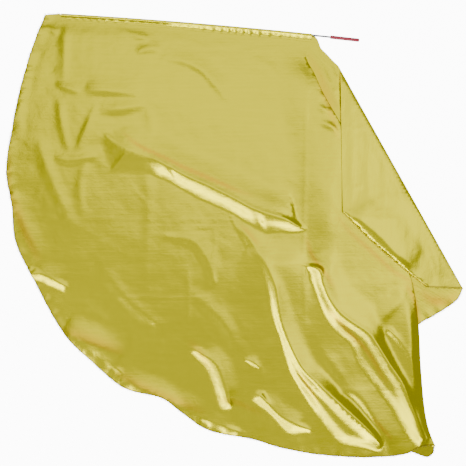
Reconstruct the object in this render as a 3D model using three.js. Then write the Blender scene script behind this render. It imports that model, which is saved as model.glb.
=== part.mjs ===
// A worship flag laid out on a flat surface: a half-round gold cloth, its rod and its hand grip.
// Millimetres, +Z up, seen from above with the rod along the far edge.
import * as THREE from "three";

// Cloth and its layers
const clothThickness = 1.5;
const layerPitch = 5;
const floorLayer = clothThickness / 2;

// Rod and grip: a slightly bowed fibreglass rod with a moulded grip over its near end
const rodDiameter = 6.35;
const rodFarEnd = { x: -608, y: 776.5 };
const rodGripEnd = { x: 441, y: 686.5 };
const rodBow = 7;
const gripDiameter = 12.6;
const gripLength = 103;
const fitGap = 0.3;

// Casing: the straight edge turned over the rod and stitched down
const casingRadius = 4.6;
const casingSeam = 12;
const casingSeamHeight = floorLayer + clothThickness + 0.4;
const casingPastApex = 32;

// The pleat starts at the apex, where the casing ends, and runs to the hem
const apex = { x: 242.7, y: 707.6 };
const straightEdgeAngle = 5.8;
const straightEdgeTurn = 31;
const pleatAngle = 15.5;
const gatherAngle = 35;
const pleatRamp = 110;
const liftOpens = [30, 110];
const foldOpens = [70, 215];
const edgeTurns = [34, 85];
const creaseWrinkle = 0.25;
const pastCreaseSpan = 45;
const casingClear = [20, 62];
const gathersEnd = 230;

// Where the main layer's own folds fade out: below the casing, near the apex and under the flap
const wrinkleBelowRod = [20, 70];
const wrinkleFromApex = [90, 220];
const flapSide = [330, 390];
const flapTop = [-190, -110];

// The right side folded back over a straight crease, and its corner tucked under
const foldStart = { x: 387, y: 561 };
const foldEnd = { x: 807, y: -189 };
const foldRoll = 5;
const flapStretch = 1.22;
const tuckStart = { x: 378, y: 88 };
const tuckEnd = { x: 680, y: -180 };
const tuckRoll = 4.5;
const tuckBulge = 10;
const tuckedEdge = { at: 96, span: 26 };
const tuckedHem = { at: 648, span: 24, share: 0.45 };
const tuckedTip = { at: 700, span: 40, share: 0.55 };
const flapSettles = 60;
const flapOverPleat = [8, 100];

// Steps of the mesh
const plainStep = 62;
const wrinkleStep = 50;
const ridgeStep = 28;
const rowStep = 30;
const gatherStep = 10;
const tuckStep = 14;
const casingSteps = 24;
const sliverArea = 1;
const rollSteps = 4;
const hemSpans = 16;
const creaseSpan = [76, 1580];
const sideFoldMargin = 60;
const outlineBend = 0.4;
const outlineShortest = 2.4;
const creaseToOutline = 2.5;
const latticeToOutline = 7;
const latticeToCrease = 0.8;
const lattice = 9;
const latticeBox = { left: -860, right: 1200, low: -820, high: 800 };
const siteJitter = 0.02;
const halvings = 40;

// The far corner of the cloth, beyond the end of the casing
const farCorner = { dx: 27, dy: 4 };
const casingMargin = 6;

// Moves the whole to stand on the middle of its own base
const baseShift = { x: -0.45, y: 1.5 };

// Hem of the flat cut, in polar form about the apex: angle down from the right, reach in millimetres
const hemRows = [
  { angle: 5.8, reach: 931 },
  { angle: 15.6, reach: 971 },
  { angle: 20, reach: 999 },
  { angle: 26, reach: 1061 },
  { angle: 28, reach: 1084 },
  { angle: 33, reach: 1096 },
  { angle: 37, reach: 1108 },
  { angle: 47, reach: 1230 },
  { angle: 56, reach: 1350 },
  { angle: 64, reach: 1430 },
  { angle: 69.2, reach: 1530 },
  { angle: 70.4, reach: 1556 },
  { angle: 71.4, reach: 1548 },
  { angle: 72.2, reach: 1524 },
  { angle: 74.4, reach: 1512 },
  { angle: 76, reach: 1523 },
  { angle: 80.1, reach: 1514 },
  { angle: 85.7, reach: 1492 },
  { angle: 92.8, reach: 1464 },
  { angle: 97.5, reach: 1441 },
  { angle: 103.7, reach: 1437 },
  { angle: 107.5, reach: 1405 },
  { angle: 111.2, reach: 1377 },
  { angle: 117, reach: 1399 },
  { angle: 123, reach: 1374 },
  { angle: 128.4, reach: 1354 },
  { angle: 136.8, reach: 1293 },
  { angle: 144.5, reach: 1250 },
  { angle: 149.3, reach: 1196 },
  { angle: 155.2, reach: 1156 },
  { angle: 162.3, reach: 1079 },
  { angle: 171.5, reach: 999 },
  { angle: 177.4, reach: 958 },
  { angle: 181.5, reach: 931 },
  { angle: 184.3, reach: 915 },
];

// The pleat's upper crease: its angle at each distance from the apex
const creaseRows = [
  { reach: 0, angle: 79 },
  { reach: 61, angle: 77.3 },
  { reach: 183, angle: 73.1 },
  { reach: 339, angle: 67.7 },
  { reach: 620, angle: 65.8 },
  { reach: 928, angle: 66.2 },
  { reach: 1074, angle: 68 },
  { reach: 1252, angle: 70.7 },
  { reach: 1439, angle: 72.4 },
  { reach: 1600, angle: 72 },
];

// Folds that stand up from the main layer: crest from, through and to, the reach of the flank
// on the left of the walk and on its right, and the height
const ridgeRows = [
  { from: [-305, 290], through: [-118, 190], to: [258, 8], left: 75, right: 45, height: 17 },
  { from: [-5, 84], through: [92, -48], to: [197, -217], left: 60, right: 34, height: 14 },
  { from: [246, -90], through: [352, -270], to: [596, -550], left: 46, right: 60, height: 16 },
  { from: [105, -205], through: [260, -500], to: [518, -735], left: 60, right: 58, height: 19 },
  { from: [487, -320], through: [600, -530], to: [690, -760], left: 40, right: 42, height: 13 },
  { from: [462, -570], through: [515, -670], to: [562, -775], left: 26, right: 28, height: 9 },
  { from: [-146, -395], through: [-62, -479], to: [-16, -620], left: 34, right: 26, height: 8 },
  { from: [52, -580], through: [161, -632], to: [285, -688], left: 34, right: 28, height: 8 },
  { from: [-700, 305], through: [-612, 160], to: [-505, -30], left: 46, right: 40, height: 9 },
  { from: [-258, 30], through: [-125, -16], to: [-68, -146], left: 48, right: 30, height: 7 },
  { from: [-258, 630], through: [-108, 580], to: [0, 450], left: 44, right: 40, height: 7 },
  { from: [-500, 318], through: [-370, 264], to: [-250, 214], left: 38, right: 30, height: 10 },
  { from: [-745, -90], through: [-674, -150], to: [-595, -200], left: 36, right: 26, height: 9 },
  { from: [-530, -400], through: [-469, -451], to: [-395, -515], left: 34, right: 26, height: 8 },
  { from: [-160, -628], through: [-76, -670], to: [12, -718], left: 34, right: 26, height: 8 },
];

const degree = Math.PI / 180;
const casingFrom = rodFarEnd.x - 4;
const casingTo = apex.x + casingPastApex;

function mix(a, b, share) {
  return a + (b - a) * share;
}

function smooth(value, from, to) {
  const share = Math.min(1, Math.max(0, (value - from) / (to - from)));
  return share * share * (3 - 2 * share);
}

// A smooth curve through the rows of a table, from one column to another
function through(rows, key, column) {
  const slope = rows.map((row, i) => {
    const before = rows[Math.max(0, i - 1)];
    const after = rows[Math.min(rows.length - 1, i + 1)];
    return (after[column] - before[column]) / (after[key] - before[key]);
  });
  return (value) => {
    let i = 0;
    while (i < rows.length - 2 && value > rows[i + 1][key]) {
      i += 1;
    }
    const span = rows[i + 1][key] - rows[i][key];
    const t = Math.min(1, Math.max(0, (value - rows[i][key]) / span));
    const h = t * t * (3 - 2 * t);
    const bend = span * t * (1 - t);
    return mix(rows[i][column], rows[i + 1][column], h)
      + bend * ((1 - t) * slope[i] - t * slope[i + 1]);
  };
}

const hemReach = through(hemRows, "angle", "reach");
const creaseAngle = through(creaseRows, "reach", "angle");

// The rod's axis in plan
function rodLine(x) {
  const share = (x - rodFarEnd.x) / (rodGripEnd.x - rodFarEnd.x);
  return mix(rodFarEnd.y, rodGripEnd.y, share) + 4 * rodBow * share * (1 - share);
}

function fromApex(reach, angle) {
  return { x: apex.x + reach * Math.cos(angle * degree), y: apex.y - reach * Math.sin(angle * degree) };
}

function aboutApex(x, y) {
  const angle = Math.atan2(apex.y - y, x - apex.x) / degree;
  return { reach: Math.hypot(x - apex.x, y - apex.y), angle: angle < -90 ? angle + 360 : angle };
}

// Straight creases: distance along and across, across being positive on the right of the walk
function creaseFrame(start, end) {
  const length = Math.hypot(end.x - start.x, end.y - start.y);
  const dir = { x: (end.x - start.x) / length, y: (end.y - start.y) / length };
  const side = { x: dir.y, y: -dir.x };
  return {
    length,
    read: (p) => {
      const dx = p.x - start.x;
      const dy = p.y - start.y;
      return { along: dx * dir.x + dy * dir.y, across: dx * side.x + dy * side.y };
    },
    place: (along, across) => ({
      x: start.x + along * dir.x + across * side.x,
      y: start.y + along * dir.y + across * side.y,
    }),
  };
}

const sideFold = creaseFrame(foldEnd, foldStart);
const cornerTuck = creaseFrame(tuckStart, tuckEnd);

// Height of one ridge at a point, from the nearest point of its curved crest
const ridges = ridgeRows.map((row) => {
  const curve = new THREE.QuadraticBezierCurve(
    new THREE.Vector2(...row.from),
    new THREE.Vector2(...row.through).multiplyScalar(2)
      .addScaledVector(new THREE.Vector2(...row.from), -0.5)
      .addScaledVector(new THREE.Vector2(...row.to), -0.5),
    new THREE.Vector2(...row.to),
  );
  return { row, crest: curve.getPoints(14) };
});

function ridgeHeight({ row, crest }, x, y) {
  let nearest = Infinity;
  let place = 0;
  let turn = 0;
  for (let i = 0; i < crest.length - 1; i += 1) {
    const dx = crest[i + 1].x - crest[i].x;
    const dy = crest[i + 1].y - crest[i].y;
    const px = x - crest[i].x;
    const py = y - crest[i].y;
    const t = Math.min(1, Math.max(0, (px * dx + py * dy) / (dx * dx + dy * dy)));
    const gap = Math.hypot(px - t * dx, py - t * dy);
    if (gap < nearest) {
      nearest = gap;
      place = (i + t) / (crest.length - 1);
      turn = dx * py - dy * px;
    }
  }
  const width = turn > 0 ? row.left : row.right;
  const fall = Math.max(0, 1 - (nearest / width) ** 2);
  const ends = Math.min(1, 5 * place * (1 - place) + 0.12);
  return row.height * fall * fall * ends;
}

// How far the main layer stands up in its own folds: none at the casing or under the flap
function wrinkle(x, y) {
  const belowCasing = smooth(rodLine(x) - y, ...wrinkleBelowRod);
  const underFlap = smooth(x, ...flapSide) * smooth(y, ...flapTop);
  const near = aboutApex(x, y).reach;
  const height = ridges.reduce((top, ridge) => Math.max(top, ridgeHeight(ridge, x, y)), 0);
  return height * belowCasing * (1 - underFlap) * smooth(near, ...wrinkleFromApex);
}

// The pleat stays flat at the apex and along the casing's seam
function pleatLift(reach, angle) {
  const p = fromApex(reach, angle);
  const clear = p.x > casingTo ? 1 : smooth(rodLine(p.x) - p.y, ...casingClear);
  return smooth(reach, ...liftOpens) * clear;
}

// The pleat: main layer, a return below it, then the lowest layer, turned about the apex.
// Near the apex it opens into gathers, because three layers can't meet in a point.
function pleat(reach, angle) {
  const crease = creaseAngle(reach);
  const folded = smooth(reach, ...foldOpens);
  const lift = pleatLift(reach, angle);
  const roll = Math.max(0.01, lift * layerPitch / 2);
  const ahead = (crease - angle) * degree * reach;
  const width = pleatAngle * degree * reach;
  const turn = Math.PI * roll;
  let across = ahead;
  let level = 2 * smooth(ahead + width, -pleatRamp, -roll - 3);
  let stage = "main";
  if (ahead > 2 * turn + width) {
    across = ahead - 2 * turn - 2 * width;
    level = 0;
    stage = "lowest";
  } else if (ahead > turn + width) {
    const bend = (ahead - turn - width) / roll;
    across = -width - roll * Math.sin(bend);
    level = 1 - (1 - Math.cos(bend)) / 2;
    stage = "return";
  } else if (ahead > turn) {
    across = turn - ahead;
    level = 1;
    stage = "return";
  } else if (ahead > 0) {
    across = roll * Math.sin(ahead / roll);
    level = 2 - (1 - Math.cos(ahead / roll)) / 2;
    stage = "crease";
  }
  if (ahead > 0) {
    level = mix(2 * Math.max(0, 1 - ahead / (2 * turn + width)), level, folded);
  }
  const gathered = crease + gatherAngle;
  const edge = straightEdgeAngle + straightEdgeTurn * smooth(reach, ...edgeTurns);
  const squeeze = (gathered - edge) / (gathered - straightEdgeAngle);
  const open = angle > gathered ? angle : gathered - (gathered - angle) * squeeze;
  const pleated = reach > 1 ? crease - across / (reach * degree) : angle;
  return { angle: mix(open, pleated, folded), height: level * layerPitch * lift, level, ahead, stage };
}

// How far the tuck's crease bows outwards
function bulgeAt(along) {
  return tuckBulge * Math.sin(Math.PI * Math.min(1, Math.max(0, along / cornerTuck.length)));
}

// Share of the tucked corner's lift at a place: it falls off past the tucked edge and its hem
function tuckShare(x, y) {
  const pastEdge = smooth(y, tuckedEdge.at, tuckedEdge.at + tuckedEdge.span);
  const pastHem = smooth(x, tuckedHem.at, tuckedHem.at + tuckedHem.span);
  const pastTip = smooth(x, tuckedTip.at, tuckedTip.at + tuckedTip.span);
  return (1 - pastEdge) * (1 - tuckedHem.share * pastHem - tuckedTip.share * pastTip);
}

// Height of the folded-back flap over the layers below it, and over its own tucked corner
function flapHeight(x, y, back) {
  const polar = aboutApex(x, y);
  const pastCrease = (creaseAngle(polar.reach) - polar.angle) * degree * polar.reach;
  const overPleat = 1 - smooth(pastCrease, ...flapOverPleat);
  const settled = mix(2 * foldRoll, layerPitch, smooth(back, 0, flapSettles));
  return settled + 2 * layerPitch * overPleat + 2 * tuckRoll * tuckShare(x, y);
}

// Where a point of the flat cut comes to lie
function lay(u, v) {
  const flat = aboutApex(u, v);
  const turned = pleat(flat.reach, flat.angle);
  const first = fromApex(flat.reach, turned.angle);
  let height = floorLayer + turned.height;
  if (turned.stage === "main") {
    height += wrinkle(first.x, first.y) * mix(creaseWrinkle, 1, smooth(-turned.ahead, 0, pastCreaseSpan));
  } else if (turned.stage === "crease") {
    height += wrinkle(first.x, first.y) * creaseWrinkle * (turned.level - 1);
  }
  const fold = sideFold.read(first);
  const past = fold.across + foldRoll;
  if (past <= 0) {
    return { x: first.x, y: first.y, z: height };
  }
  const turn = Math.PI * foldRoll;
  if (past < turn) {
    const onRoll = sideFold.place(fold.along, foldRoll * (Math.sin(past / foldRoll) - 1));
    return { ...onRoll, z: height + foldRoll * (1 - Math.cos(past / foldRoll)) };
  }
  const back = (past - turn) * flapStretch;
  const flap = sideFold.place(fold.along, -foldRoll - back);
  const tuck = cornerTuck.read(flap);
  const bulge = bulgeAt(tuck.along);
  const under = tuck.across - bulge;
  if (under <= 0) {
    return { ...flap, z: floorLayer + flapHeight(flap.x, flap.y, back) };
  }
  const edge = cornerTuck.place(tuck.along, bulge);
  const roll = tuckRoll * tuckShare(edge.x, edge.y);
  const bend = Math.min(Math.PI, under / roll);
  const across = bulge + roll * Math.sin(bend) - Math.max(0, under - Math.PI * roll);
  const corner = cornerTuck.place(tuck.along, across);
  const top = floorLayer + flapHeight(corner.x, corner.y, Math.max(back, flapSettles));
  return { ...corner, z: top - roll * (1 - Math.cos(bend)) };
}

// The outline of the flat cut, with points close together where it goes round a fold
function refine(curve, from, to, list) {
  const a = curve(from);
  const b = curve(to);
  const [la, lb] = [a, b].map((p) => lay(p.x, p.y));
  const span = Math.hypot(b.x - a.x, b.y - a.y);
  const off = [0.25, 0.5, 0.75].map((share) => {
    const p = curve(mix(from, to, share));
    const q = lay(p.x, p.y);
    const chord = { x: mix(la.x, lb.x, share), y: mix(la.y, lb.y, share), z: mix(la.z, lb.z, share) };
    return Math.hypot(q.x - chord.x, q.y - chord.y, q.z - chord.z);
  });
  if (span > rowStep || (Math.max(...off) > outlineBend && span > outlineShortest)) {
    refine(curve, from, (from + to) / 2, list);
    refine(curve, (from + to) / 2, to, list);
  } else {
    list.push(a);
  }
}

function flatOutline() {
  const list = [];
  const straight = (t) => fromApex(mix(casingPastApex, hemRows[0].reach, t), straightEdgeAngle);
  const hem = (t) => {
    const angle = mix(straightEdgeAngle, hemRows[hemRows.length - 1].angle, t);
    return fromApex(hemReach(angle), angle);
  };
  refine(straight, 0, 1, list);
  for (let i = 0; i < hemSpans; i += 1) {
    refine(hem, i / hemSpans, (i + 1) / hemSpans, list);
  }
  const corner = hem(1);
  list.push(corner);
  list.push({ x: corner.x + farCorner.dx, y: corner.y + farCorner.dy });
  list.push({ x: casingFrom - casingMargin, y: rodLine(casingFrom) + casingRadius + 1 });
  const steps = casingSteps;
  const casing = [];
  for (let i = 0; i <= steps; i += 1) {
    const x = mix(casingFrom, casingTo, i / steps);
    casing.push({ x, y: i === steps ? straight(0).y : rodLine(x) });
  }
  casing.slice(0, -1).forEach((p) => list.push(p));
  return { list, casing: list.length - steps, steps };
}

// Rows of points along each crease, across its roll, given in the flat cut
function unpleat(reach, laidAngle) {
  let low = straightEdgeAngle;
  let high = creaseAngle(reach) - pleatAngle;
  for (let i = 0; i < halvings; i += 1) {
    const middle = (low + high) / 2;
    if (pleat(reach, middle).angle > laidAngle) {
      high = middle;
    } else {
      low = middle;
    }
  }
  return fromApex(reach, (low + high) / 2);
}

function flatOfLowest(p) {
  const polar = aboutApex(p.x, p.y);
  return unpleat(polar.reach, polar.angle);
}

function flatOfFlap(p) {
  const fold = sideFold.read(p);
  const past = Math.PI * foldRoll + (-foldRoll - fold.across) / flapStretch;
  return flatOfLowest(sideFold.place(fold.along, past - foldRoll));
}

// Points square across a curve of the flat cut, at given distances to its right
function acrossCurve(curve, reach, distances) {
  const spot = curve(reach);
  const before = curve(reach - 1);
  const after = curve(reach + 1);
  const size = Math.hypot(after.x - before.x, after.y - before.y);
  const side = { x: -(after.y - before.y) / size, y: (after.x - before.x) / size };
  const slant = side.x * Math.sin(aboutApex(spot.x, spot.y).angle * degree)
    + side.y * Math.cos(aboutApex(spot.x, spot.y).angle * degree);
  return distances.map((d) => ({ x: spot.x + d * slant * side.x, y: spot.y + d * slant * side.y }));
}

// Steps along the pleat's creases: close in the gathers and at the hem
function creaseStep(reach) {
  const lowerHem = hemReach(creaseAngle(reach) - pleatAngle);
  const upperHem = hemReach(creaseAngle(reach));
  const atHem = [lowerHem, upperHem].some((hem) => Math.abs(hem - reach - 10) < 40);
  return reach < gathersEnd || atHem ? gatherStep : rowStep;
}

function creaseRowPoints() {
  const points = [];
  const rollAt = (reach) => Math.PI * layerPitch / 2 * smooth(reach, ...liftOpens);
  const upper = (reach) => fromApex(reach, creaseAngle(reach));
  const lower = (reach) => {
    return fromApex(reach, creaseAngle(reach) - pleatAngle - rollAt(reach) / reach / degree);
  };
  for (let reach = creaseSpan[0]; reach < creaseSpan[1]; reach += creaseStep(reach)) {
    const distances = [];
    for (let i = 0; i <= rollSteps; i += 1) {
      distances.push(rollAt(reach) * i / rollSteps);
    }
    points.push(...acrossCurve(upper, reach, distances), ...acrossCurve(lower, reach, distances));
    if (reach < foldOpens[1] + 50) {
      const width = pleatAngle * degree * reach;
      const between = [1 / 4, 1 / 2, 3 / 4].map((share) => rollAt(reach) + share * width);
      points.push(...acrossCurve(upper, reach, between));
    }
  }
  const nearTop = sideFold.length - sideFoldMargin;
  const pastTop = sideFold.length + 2 * sideFoldMargin / 3;
  for (let along = -sideFoldMargin / 3; along < pastTop; along += along > nearTop ? gatherStep : rowStep) {
    for (let i = 0; i <= rollSteps; i += 1) {
      const past = Math.PI * foldRoll * i / rollSteps;
      points.push(flatOfLowest(sideFold.place(along, past - foldRoll)));
    }
  }
  for (let along = 0; along < cornerTuck.length; along += tuckStep) {
    const bulge = bulgeAt(along);
    const edge = cornerTuck.place(along, bulge);
    for (let i = 0; i <= rollSteps; i += 1) {
      const under = Math.PI * tuckRoll * tuckShare(edge.x, edge.y) * i / rollSteps;
      points.push(flatOfFlap(cornerTuck.place(along, bulge + under)));
    }
  }
  return points;
}

// Rows of points along each ridge: its crest, the middle of each flank and both feet
function ridgeRowPoints() {
  const points = [];
  ridges.forEach(({ row, crest }) => {
    const curve = new THREE.SplineCurve(crest);
    const count = Math.round(curve.getLength() / ridgeStep);
    const offsets = [0, 0.45 * row.left, -0.45 * row.right, row.left, -row.right];
    offsets.forEach((offset) => {
      for (let i = 0; i <= count; i += 1) {
        const spot = curve.getPointAt(i / count);
        const ahead = curve.getTangentAt(i / count);
        points.push({ x: spot.x - offset * ahead.y, y: spot.y + offset * ahead.x });
      }
    });
  });
  return points;
}

// Wider steps on flat cloth, closer ones where it stands up or gathers
function stepAt(p) {
  const polar = aboutApex(p.x, p.y);
  const turned = pleat(polar.reach, polar.angle);
  const gathers = mix(9, plainStep, smooth(polar.reach, 40, 420));
  if (turned.stage === "main") {
    const high = wrinkle(p.x, p.y);
    const close = high > 0.6 ? wrinkleStep : plainStep;
    return Math.min(gathers, close);
  }
  if (turned.stage === "lowest") {
    const q = lay(p.x, p.y);
    return Math.min(gathers, q.z > floorLayer + layerPitch ? 36 : plainStep);
  }
  return Math.min(gathers, plainStep);
}

function inside(p, outline) {
  let hit = false;
  for (let i = 0, j = outline.length - 1; i < outline.length; j = i, i += 1) {
    const a = outline[i];
    const b = outline[j];
    if ((a.y > p.y) !== (b.y > p.y) && p.x < (b.x - a.x) * (p.y - a.y) / (b.y - a.y) + a.x) {
      hit = !hit;
    }
  }
  return hit;
}

function nearestGap(p, points) {
  return points.reduce((gap, q) => Math.min(gap, Math.hypot(p.x - q.x, p.y - q.y)), Infinity);
}

function gapToOutline(p, outline) {
  return outline.reduce((gap, a, i) => {
    const b = outline[(i + 1) % outline.length];
    const dx = b.x - a.x;
    const dy = b.y - a.y;
    const t = ((p.x - a.x) * dx + (p.y - a.y) * dy) / (dx * dx + dy * dy);
    const k = Math.min(1, Math.max(0, t));
    return Math.min(gap, Math.hypot(p.x - a.x - k * dx, p.y - a.y - k * dy));
  }, Infinity);
}

function flatPoints(outline) {
  const creases = creaseRowPoints()
    .filter((p) => inside(p, outline) && gapToOutline(p, outline) > creaseToOutline);
  const points = [...outline, ...creases];
  const clearOfCreases = (p) => {
    const close = aboutApex(p.x, p.y).reach < gathersEnd ? gatherStep : rowStep;
    return nearestGap(p, creases) > latticeToCrease * close && gapToOutline(p, outline) > latticeToOutline;
  };
  ridgeRowPoints().forEach((p) => {
    if (inside(p, outline) && clearOfCreases(p) && nearestGap(p, points) > ridgeStep / 2) {
      points.push(p);
    }
  });
  let row = 0;
  for (let y = latticeBox.low; y < latticeBox.high; y += lattice * 0.866) {
    row += 1;
    for (let x = latticeBox.left + (row % 2) * lattice / 2; x < latticeBox.right; x += lattice) {
      const p = { x, y };
      if (!inside(p, outline)) {
        continue;
      }
      if (nearestGap(p, points) > stepAt(p) && clearOfCreases(p)) {
        points.push(p);
      }
    }
  }
  return points;
}

// Delaunay triangles of points in a plane, each point added in turn
function triangulate(points) {
  const nudge = (i, salt) => siteJitter * (((i * 7919 + salt * 104729) % 997) / 997 - 0.5);
  const sites = points.map((p, i) => ({ x: p.x + nudge(i, 1), y: p.y + nudge(i, 2) }));
  const count = sites.length;
  const far = 20000;
  sites.push({ x: -far, y: -far }, { x: far, y: -far }, { x: 0, y: far });
  const circled = (a, b, c) => {
    const first = sites[a];
    const bx = sites[b].x - first.x;
    const by = sites[b].y - first.y;
    const cx = sites[c].x - first.x;
    const cy = sites[c].y - first.y;
    const d = 2 * (bx * cy - by * cx);
    const ux = (cy * (bx * bx + by * by) - by * (cx * cx + cy * cy)) / d;
    const uy = (bx * (cx * cx + cy * cy) - cx * (bx * bx + by * by)) / d;
    return { corners: [a, b, c], x: first.x + ux, y: first.y + uy, square: ux * ux + uy * uy };
  };
  let triangles = [circled(count, count + 1, count + 2)];
  for (let i = 0; i < count; i += 1) {
    const kept = [];
    const rim = new Map();
    triangles.forEach((t) => {
      const dx = sites[i].x - t.x;
      const dy = sites[i].y - t.y;
      if (dx * dx + dy * dy >= t.square) {
        kept.push(t);
        return;
      }
      t.corners.forEach((a, k) => {
        const b = t.corners[(k + 1) % 3];
        if (!rim.delete(`${b},${a}`)) {
          rim.set(`${a},${b}`, [a, b]);
        }
      });
    });
    rim.forEach(([a, b]) => kept.push(circled(a, b, i)));
    triangles = kept;
  }
  return triangles.map((t) => t.corners).filter((t) => t.every((corner) => corner < count));
}

// Section of the casing, from the sheet under the rod, round it and down to the stitched seam
function casingSection() {
  const axis = floorLayer + casingRadius;
  const section = [];
  const steps = 11;
  for (let i = 1; i <= steps; i += 1) {
    const turn = (-90 + 292 * i / steps) * degree;
    section.push({ out: casingRadius * Math.cos(turn), up: axis + casingRadius * Math.sin(turn) });
  }
  section.push({ out: -casingRadius - 1.3, up: casingSeamHeight + 0.35 });
  section.push({ out: -casingRadius - 3.4, up: casingSeamHeight });
  section.push({ out: -casingRadius - casingSeam, up: casingSeamHeight });
  return section;
}

// Middle surface of the cloth: the laid flat cut, and the casing grown from its straight edge
function clothSurface() {
  const outline = flatOutline();
  const flat = flatPoints(outline.list);
  const points = flat.map((p) => lay(p.x, p.y));
  const triangles = triangulate(flat).filter(([a, b, c]) => {
    const [p, q, r] = [flat[a], flat[b], flat[c]];
    const area = ((q.x - p.x) * (r.y - p.y) - (q.y - p.y) * (r.x - p.x)) / 2;
    const middle = { x: (p.x + q.x + r.x) / 3, y: (p.y + q.y + r.y) / 3 };
    return area > sliverArea && inside(middle, outline.list);
  });
  const rim = [];
  for (let i = 0; i < outline.steps; i += 1) {
    rim.push(outline.casing + i);
  }
  rim.push(0);
  let below = rim;
  casingSection().forEach((spot) => {
    const row = rim.map((corner) => {
      const base = points[corner];
      const slope = (rodLine(base.x + 1) - rodLine(base.x - 1)) / 2;
      const size = Math.hypot(1, slope);
      points.push({ x: base.x - spot.out * slope / size, y: base.y + spot.out / size, z: spot.up });
      return points.length - 1;
    });
    for (let i = 0; i < row.length - 1; i += 1) {
      triangles.push([below[i], below[i + 1], row[i + 1]]);
      triangles.push([below[i], row[i + 1], row[i]]);
    }
    below = row;
  });
  return { points, triangles };
}

// Give a surface its thickness: one skin on each side and a rim along its free edges
function thicken({ points, triangles }, thickness) {
  const normals = points.map(() => new THREE.Vector3());
  const at = (i) => new THREE.Vector3(points[i].x, points[i].y, points[i].z);
  triangles.forEach(([a, b, c]) => {
    const cross = at(b).sub(at(a)).cross(at(c).sub(at(a)));
    [a, b, c].forEach((corner) => normals[corner].add(cross));
  });
  const count = points.length;
  const position = [];
  [1, -1].forEach((side) => {
    points.forEach((p, i) => {
      const n = normals[i].clone().normalize().multiplyScalar(side * thickness / 2);
      position.push(p.x + n.x, p.y + n.y, Math.max(0, p.z + n.z));
    });
  });
  const index = [];
  const edges = new Map();
  triangles.forEach(([a, b, c]) => {
    index.push(a, b, c, a + count, c + count, b + count);
    [[a, b], [b, c], [c, a]].forEach(([from, to]) => {
      if (!edges.delete(`${to},${from}`)) {
        edges.set(`${from},${to}`, [from, to]);
      }
    });
  });
  edges.forEach(([from, to]) => {
    index.push(to, from, from + count, to, from + count, to + count);
  });
  const geometry = new THREE.BufferGeometry();
  geometry.setAttribute("position", new THREE.Float32BufferAttribute(position, 3));
  geometry.setIndex(index);
  geometry.computeVertexNormals();
  return geometry;
}

// Round bar along the rod's line, lifted towards the grip
const casedHeight = floorLayer + casingRadius;
const gripHeight = gripDiameter / 2;

function rodPoint(x) {
  const rise = smooth(x, casingTo, rodGripEnd.x - gripLength - 4);
  return new THREE.Vector3(x, rodLine(x), mix(casedHeight, gripHeight, rise));
}

function rodGeometry() {
  const sides = 12;
  const steps = 20;
  const radius = rodDiameter / 2;
  const end = rodGripEnd.x - 12;
  const position = [];
  const index = [];
  for (let i = 0; i <= steps; i += 1) {
    const centre = rodPoint(mix(rodFarEnd.x, end, i / steps));
    for (let j = 0; j < sides; j += 1) {
      const turn = 2 * Math.PI * j / sides;
      position.push(centre.x, centre.y + radius * Math.cos(turn), centre.z + radius * Math.sin(turn));
      const a = i * sides + j;
      const b = i * sides + (j + 1) % sides;
      if (i < steps) {
        index.push(a, b, b + sides, a, b + sides, a + sides);
      }
    }
  }
  const last = steps * sides;
  for (let j = 1; j < sides - 1; j += 1) {
    index.push(0, j + 1, j);
    index.push(last, last + j, last + j + 1);
  }
  const geometry = new THREE.BufferGeometry();
  geometry.setAttribute("position", new THREE.Float32BufferAttribute(position, 3));
  geometry.setIndex(index);
  geometry.computeVertexNormals();
  return geometry;
}

// Moulded grip: a blind sleeve with rounded ends, turned about its own axis
function gripGeometry() {
  const outer = gripDiameter / 2;
  const bore = rodDiameter / 2 + fitGap;
  const floor = gripLength - 8;
  const profile = [
    [0, floor],
    [bore, floor],
    [bore, 0],
    [outer - 1.2, 0],
    [outer - 0.3, 1],
    [outer, 3],
    [outer, gripLength - 5],
    [outer - 0.8, gripLength - 2],
    [outer - 2.6, gripLength],
    [1.6, gripLength],
    [0, gripLength - 0.8],
  ];
  return new THREE.LatheGeometry(profile.map(([r, along]) => new THREE.Vector2(r, along)), 20);
}

const lame = new THREE.MeshStandardMaterial({ color: 0xd8c64a, roughness: 0.35, metalness: 0.8 });
lame.side = THREE.DoubleSide;
const fibreglass = new THREE.MeshStandardMaterial({ color: 0xb4b7ba, roughness: 0.4, metalness: 0 });
const redVinyl = new THREE.MeshStandardMaterial({ color: 0xc23048, roughness: 0.5, metalness: 0 });

const cloth = new THREE.Mesh(thicken(clothSurface(), clothThickness), lame);
cloth.name = "flag_cloth";

const rod = new THREE.Mesh(rodGeometry(), fibreglass);
rod.name = "rod";

const grip = new THREE.Mesh(gripGeometry(), redVinyl);
grip.name = "grip";
const gripEnd = rodPoint(rodGripEnd.x);
const gripStart = rodPoint(rodGripEnd.x - gripLength);
const gripAxis = gripEnd.clone().sub(gripStart).normalize();
grip.position.copy(gripEnd).addScaledVector(gripAxis, -gripLength);
grip.quaternion.setFromUnitVectors(new THREE.Vector3(0, 1, 0), gripAxis);

const flag = new THREE.Group();
flag.add(cloth, rod, grip);
flag.position.set(baseShift.x, baseShift.y, 0);
export default flag;
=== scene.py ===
import math
import time

import bpy
import numpy as np
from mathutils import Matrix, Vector, noise
from mathutils.geometry import delaunay_2d_cdt
from mathutils.kdtree import KDTree


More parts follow.
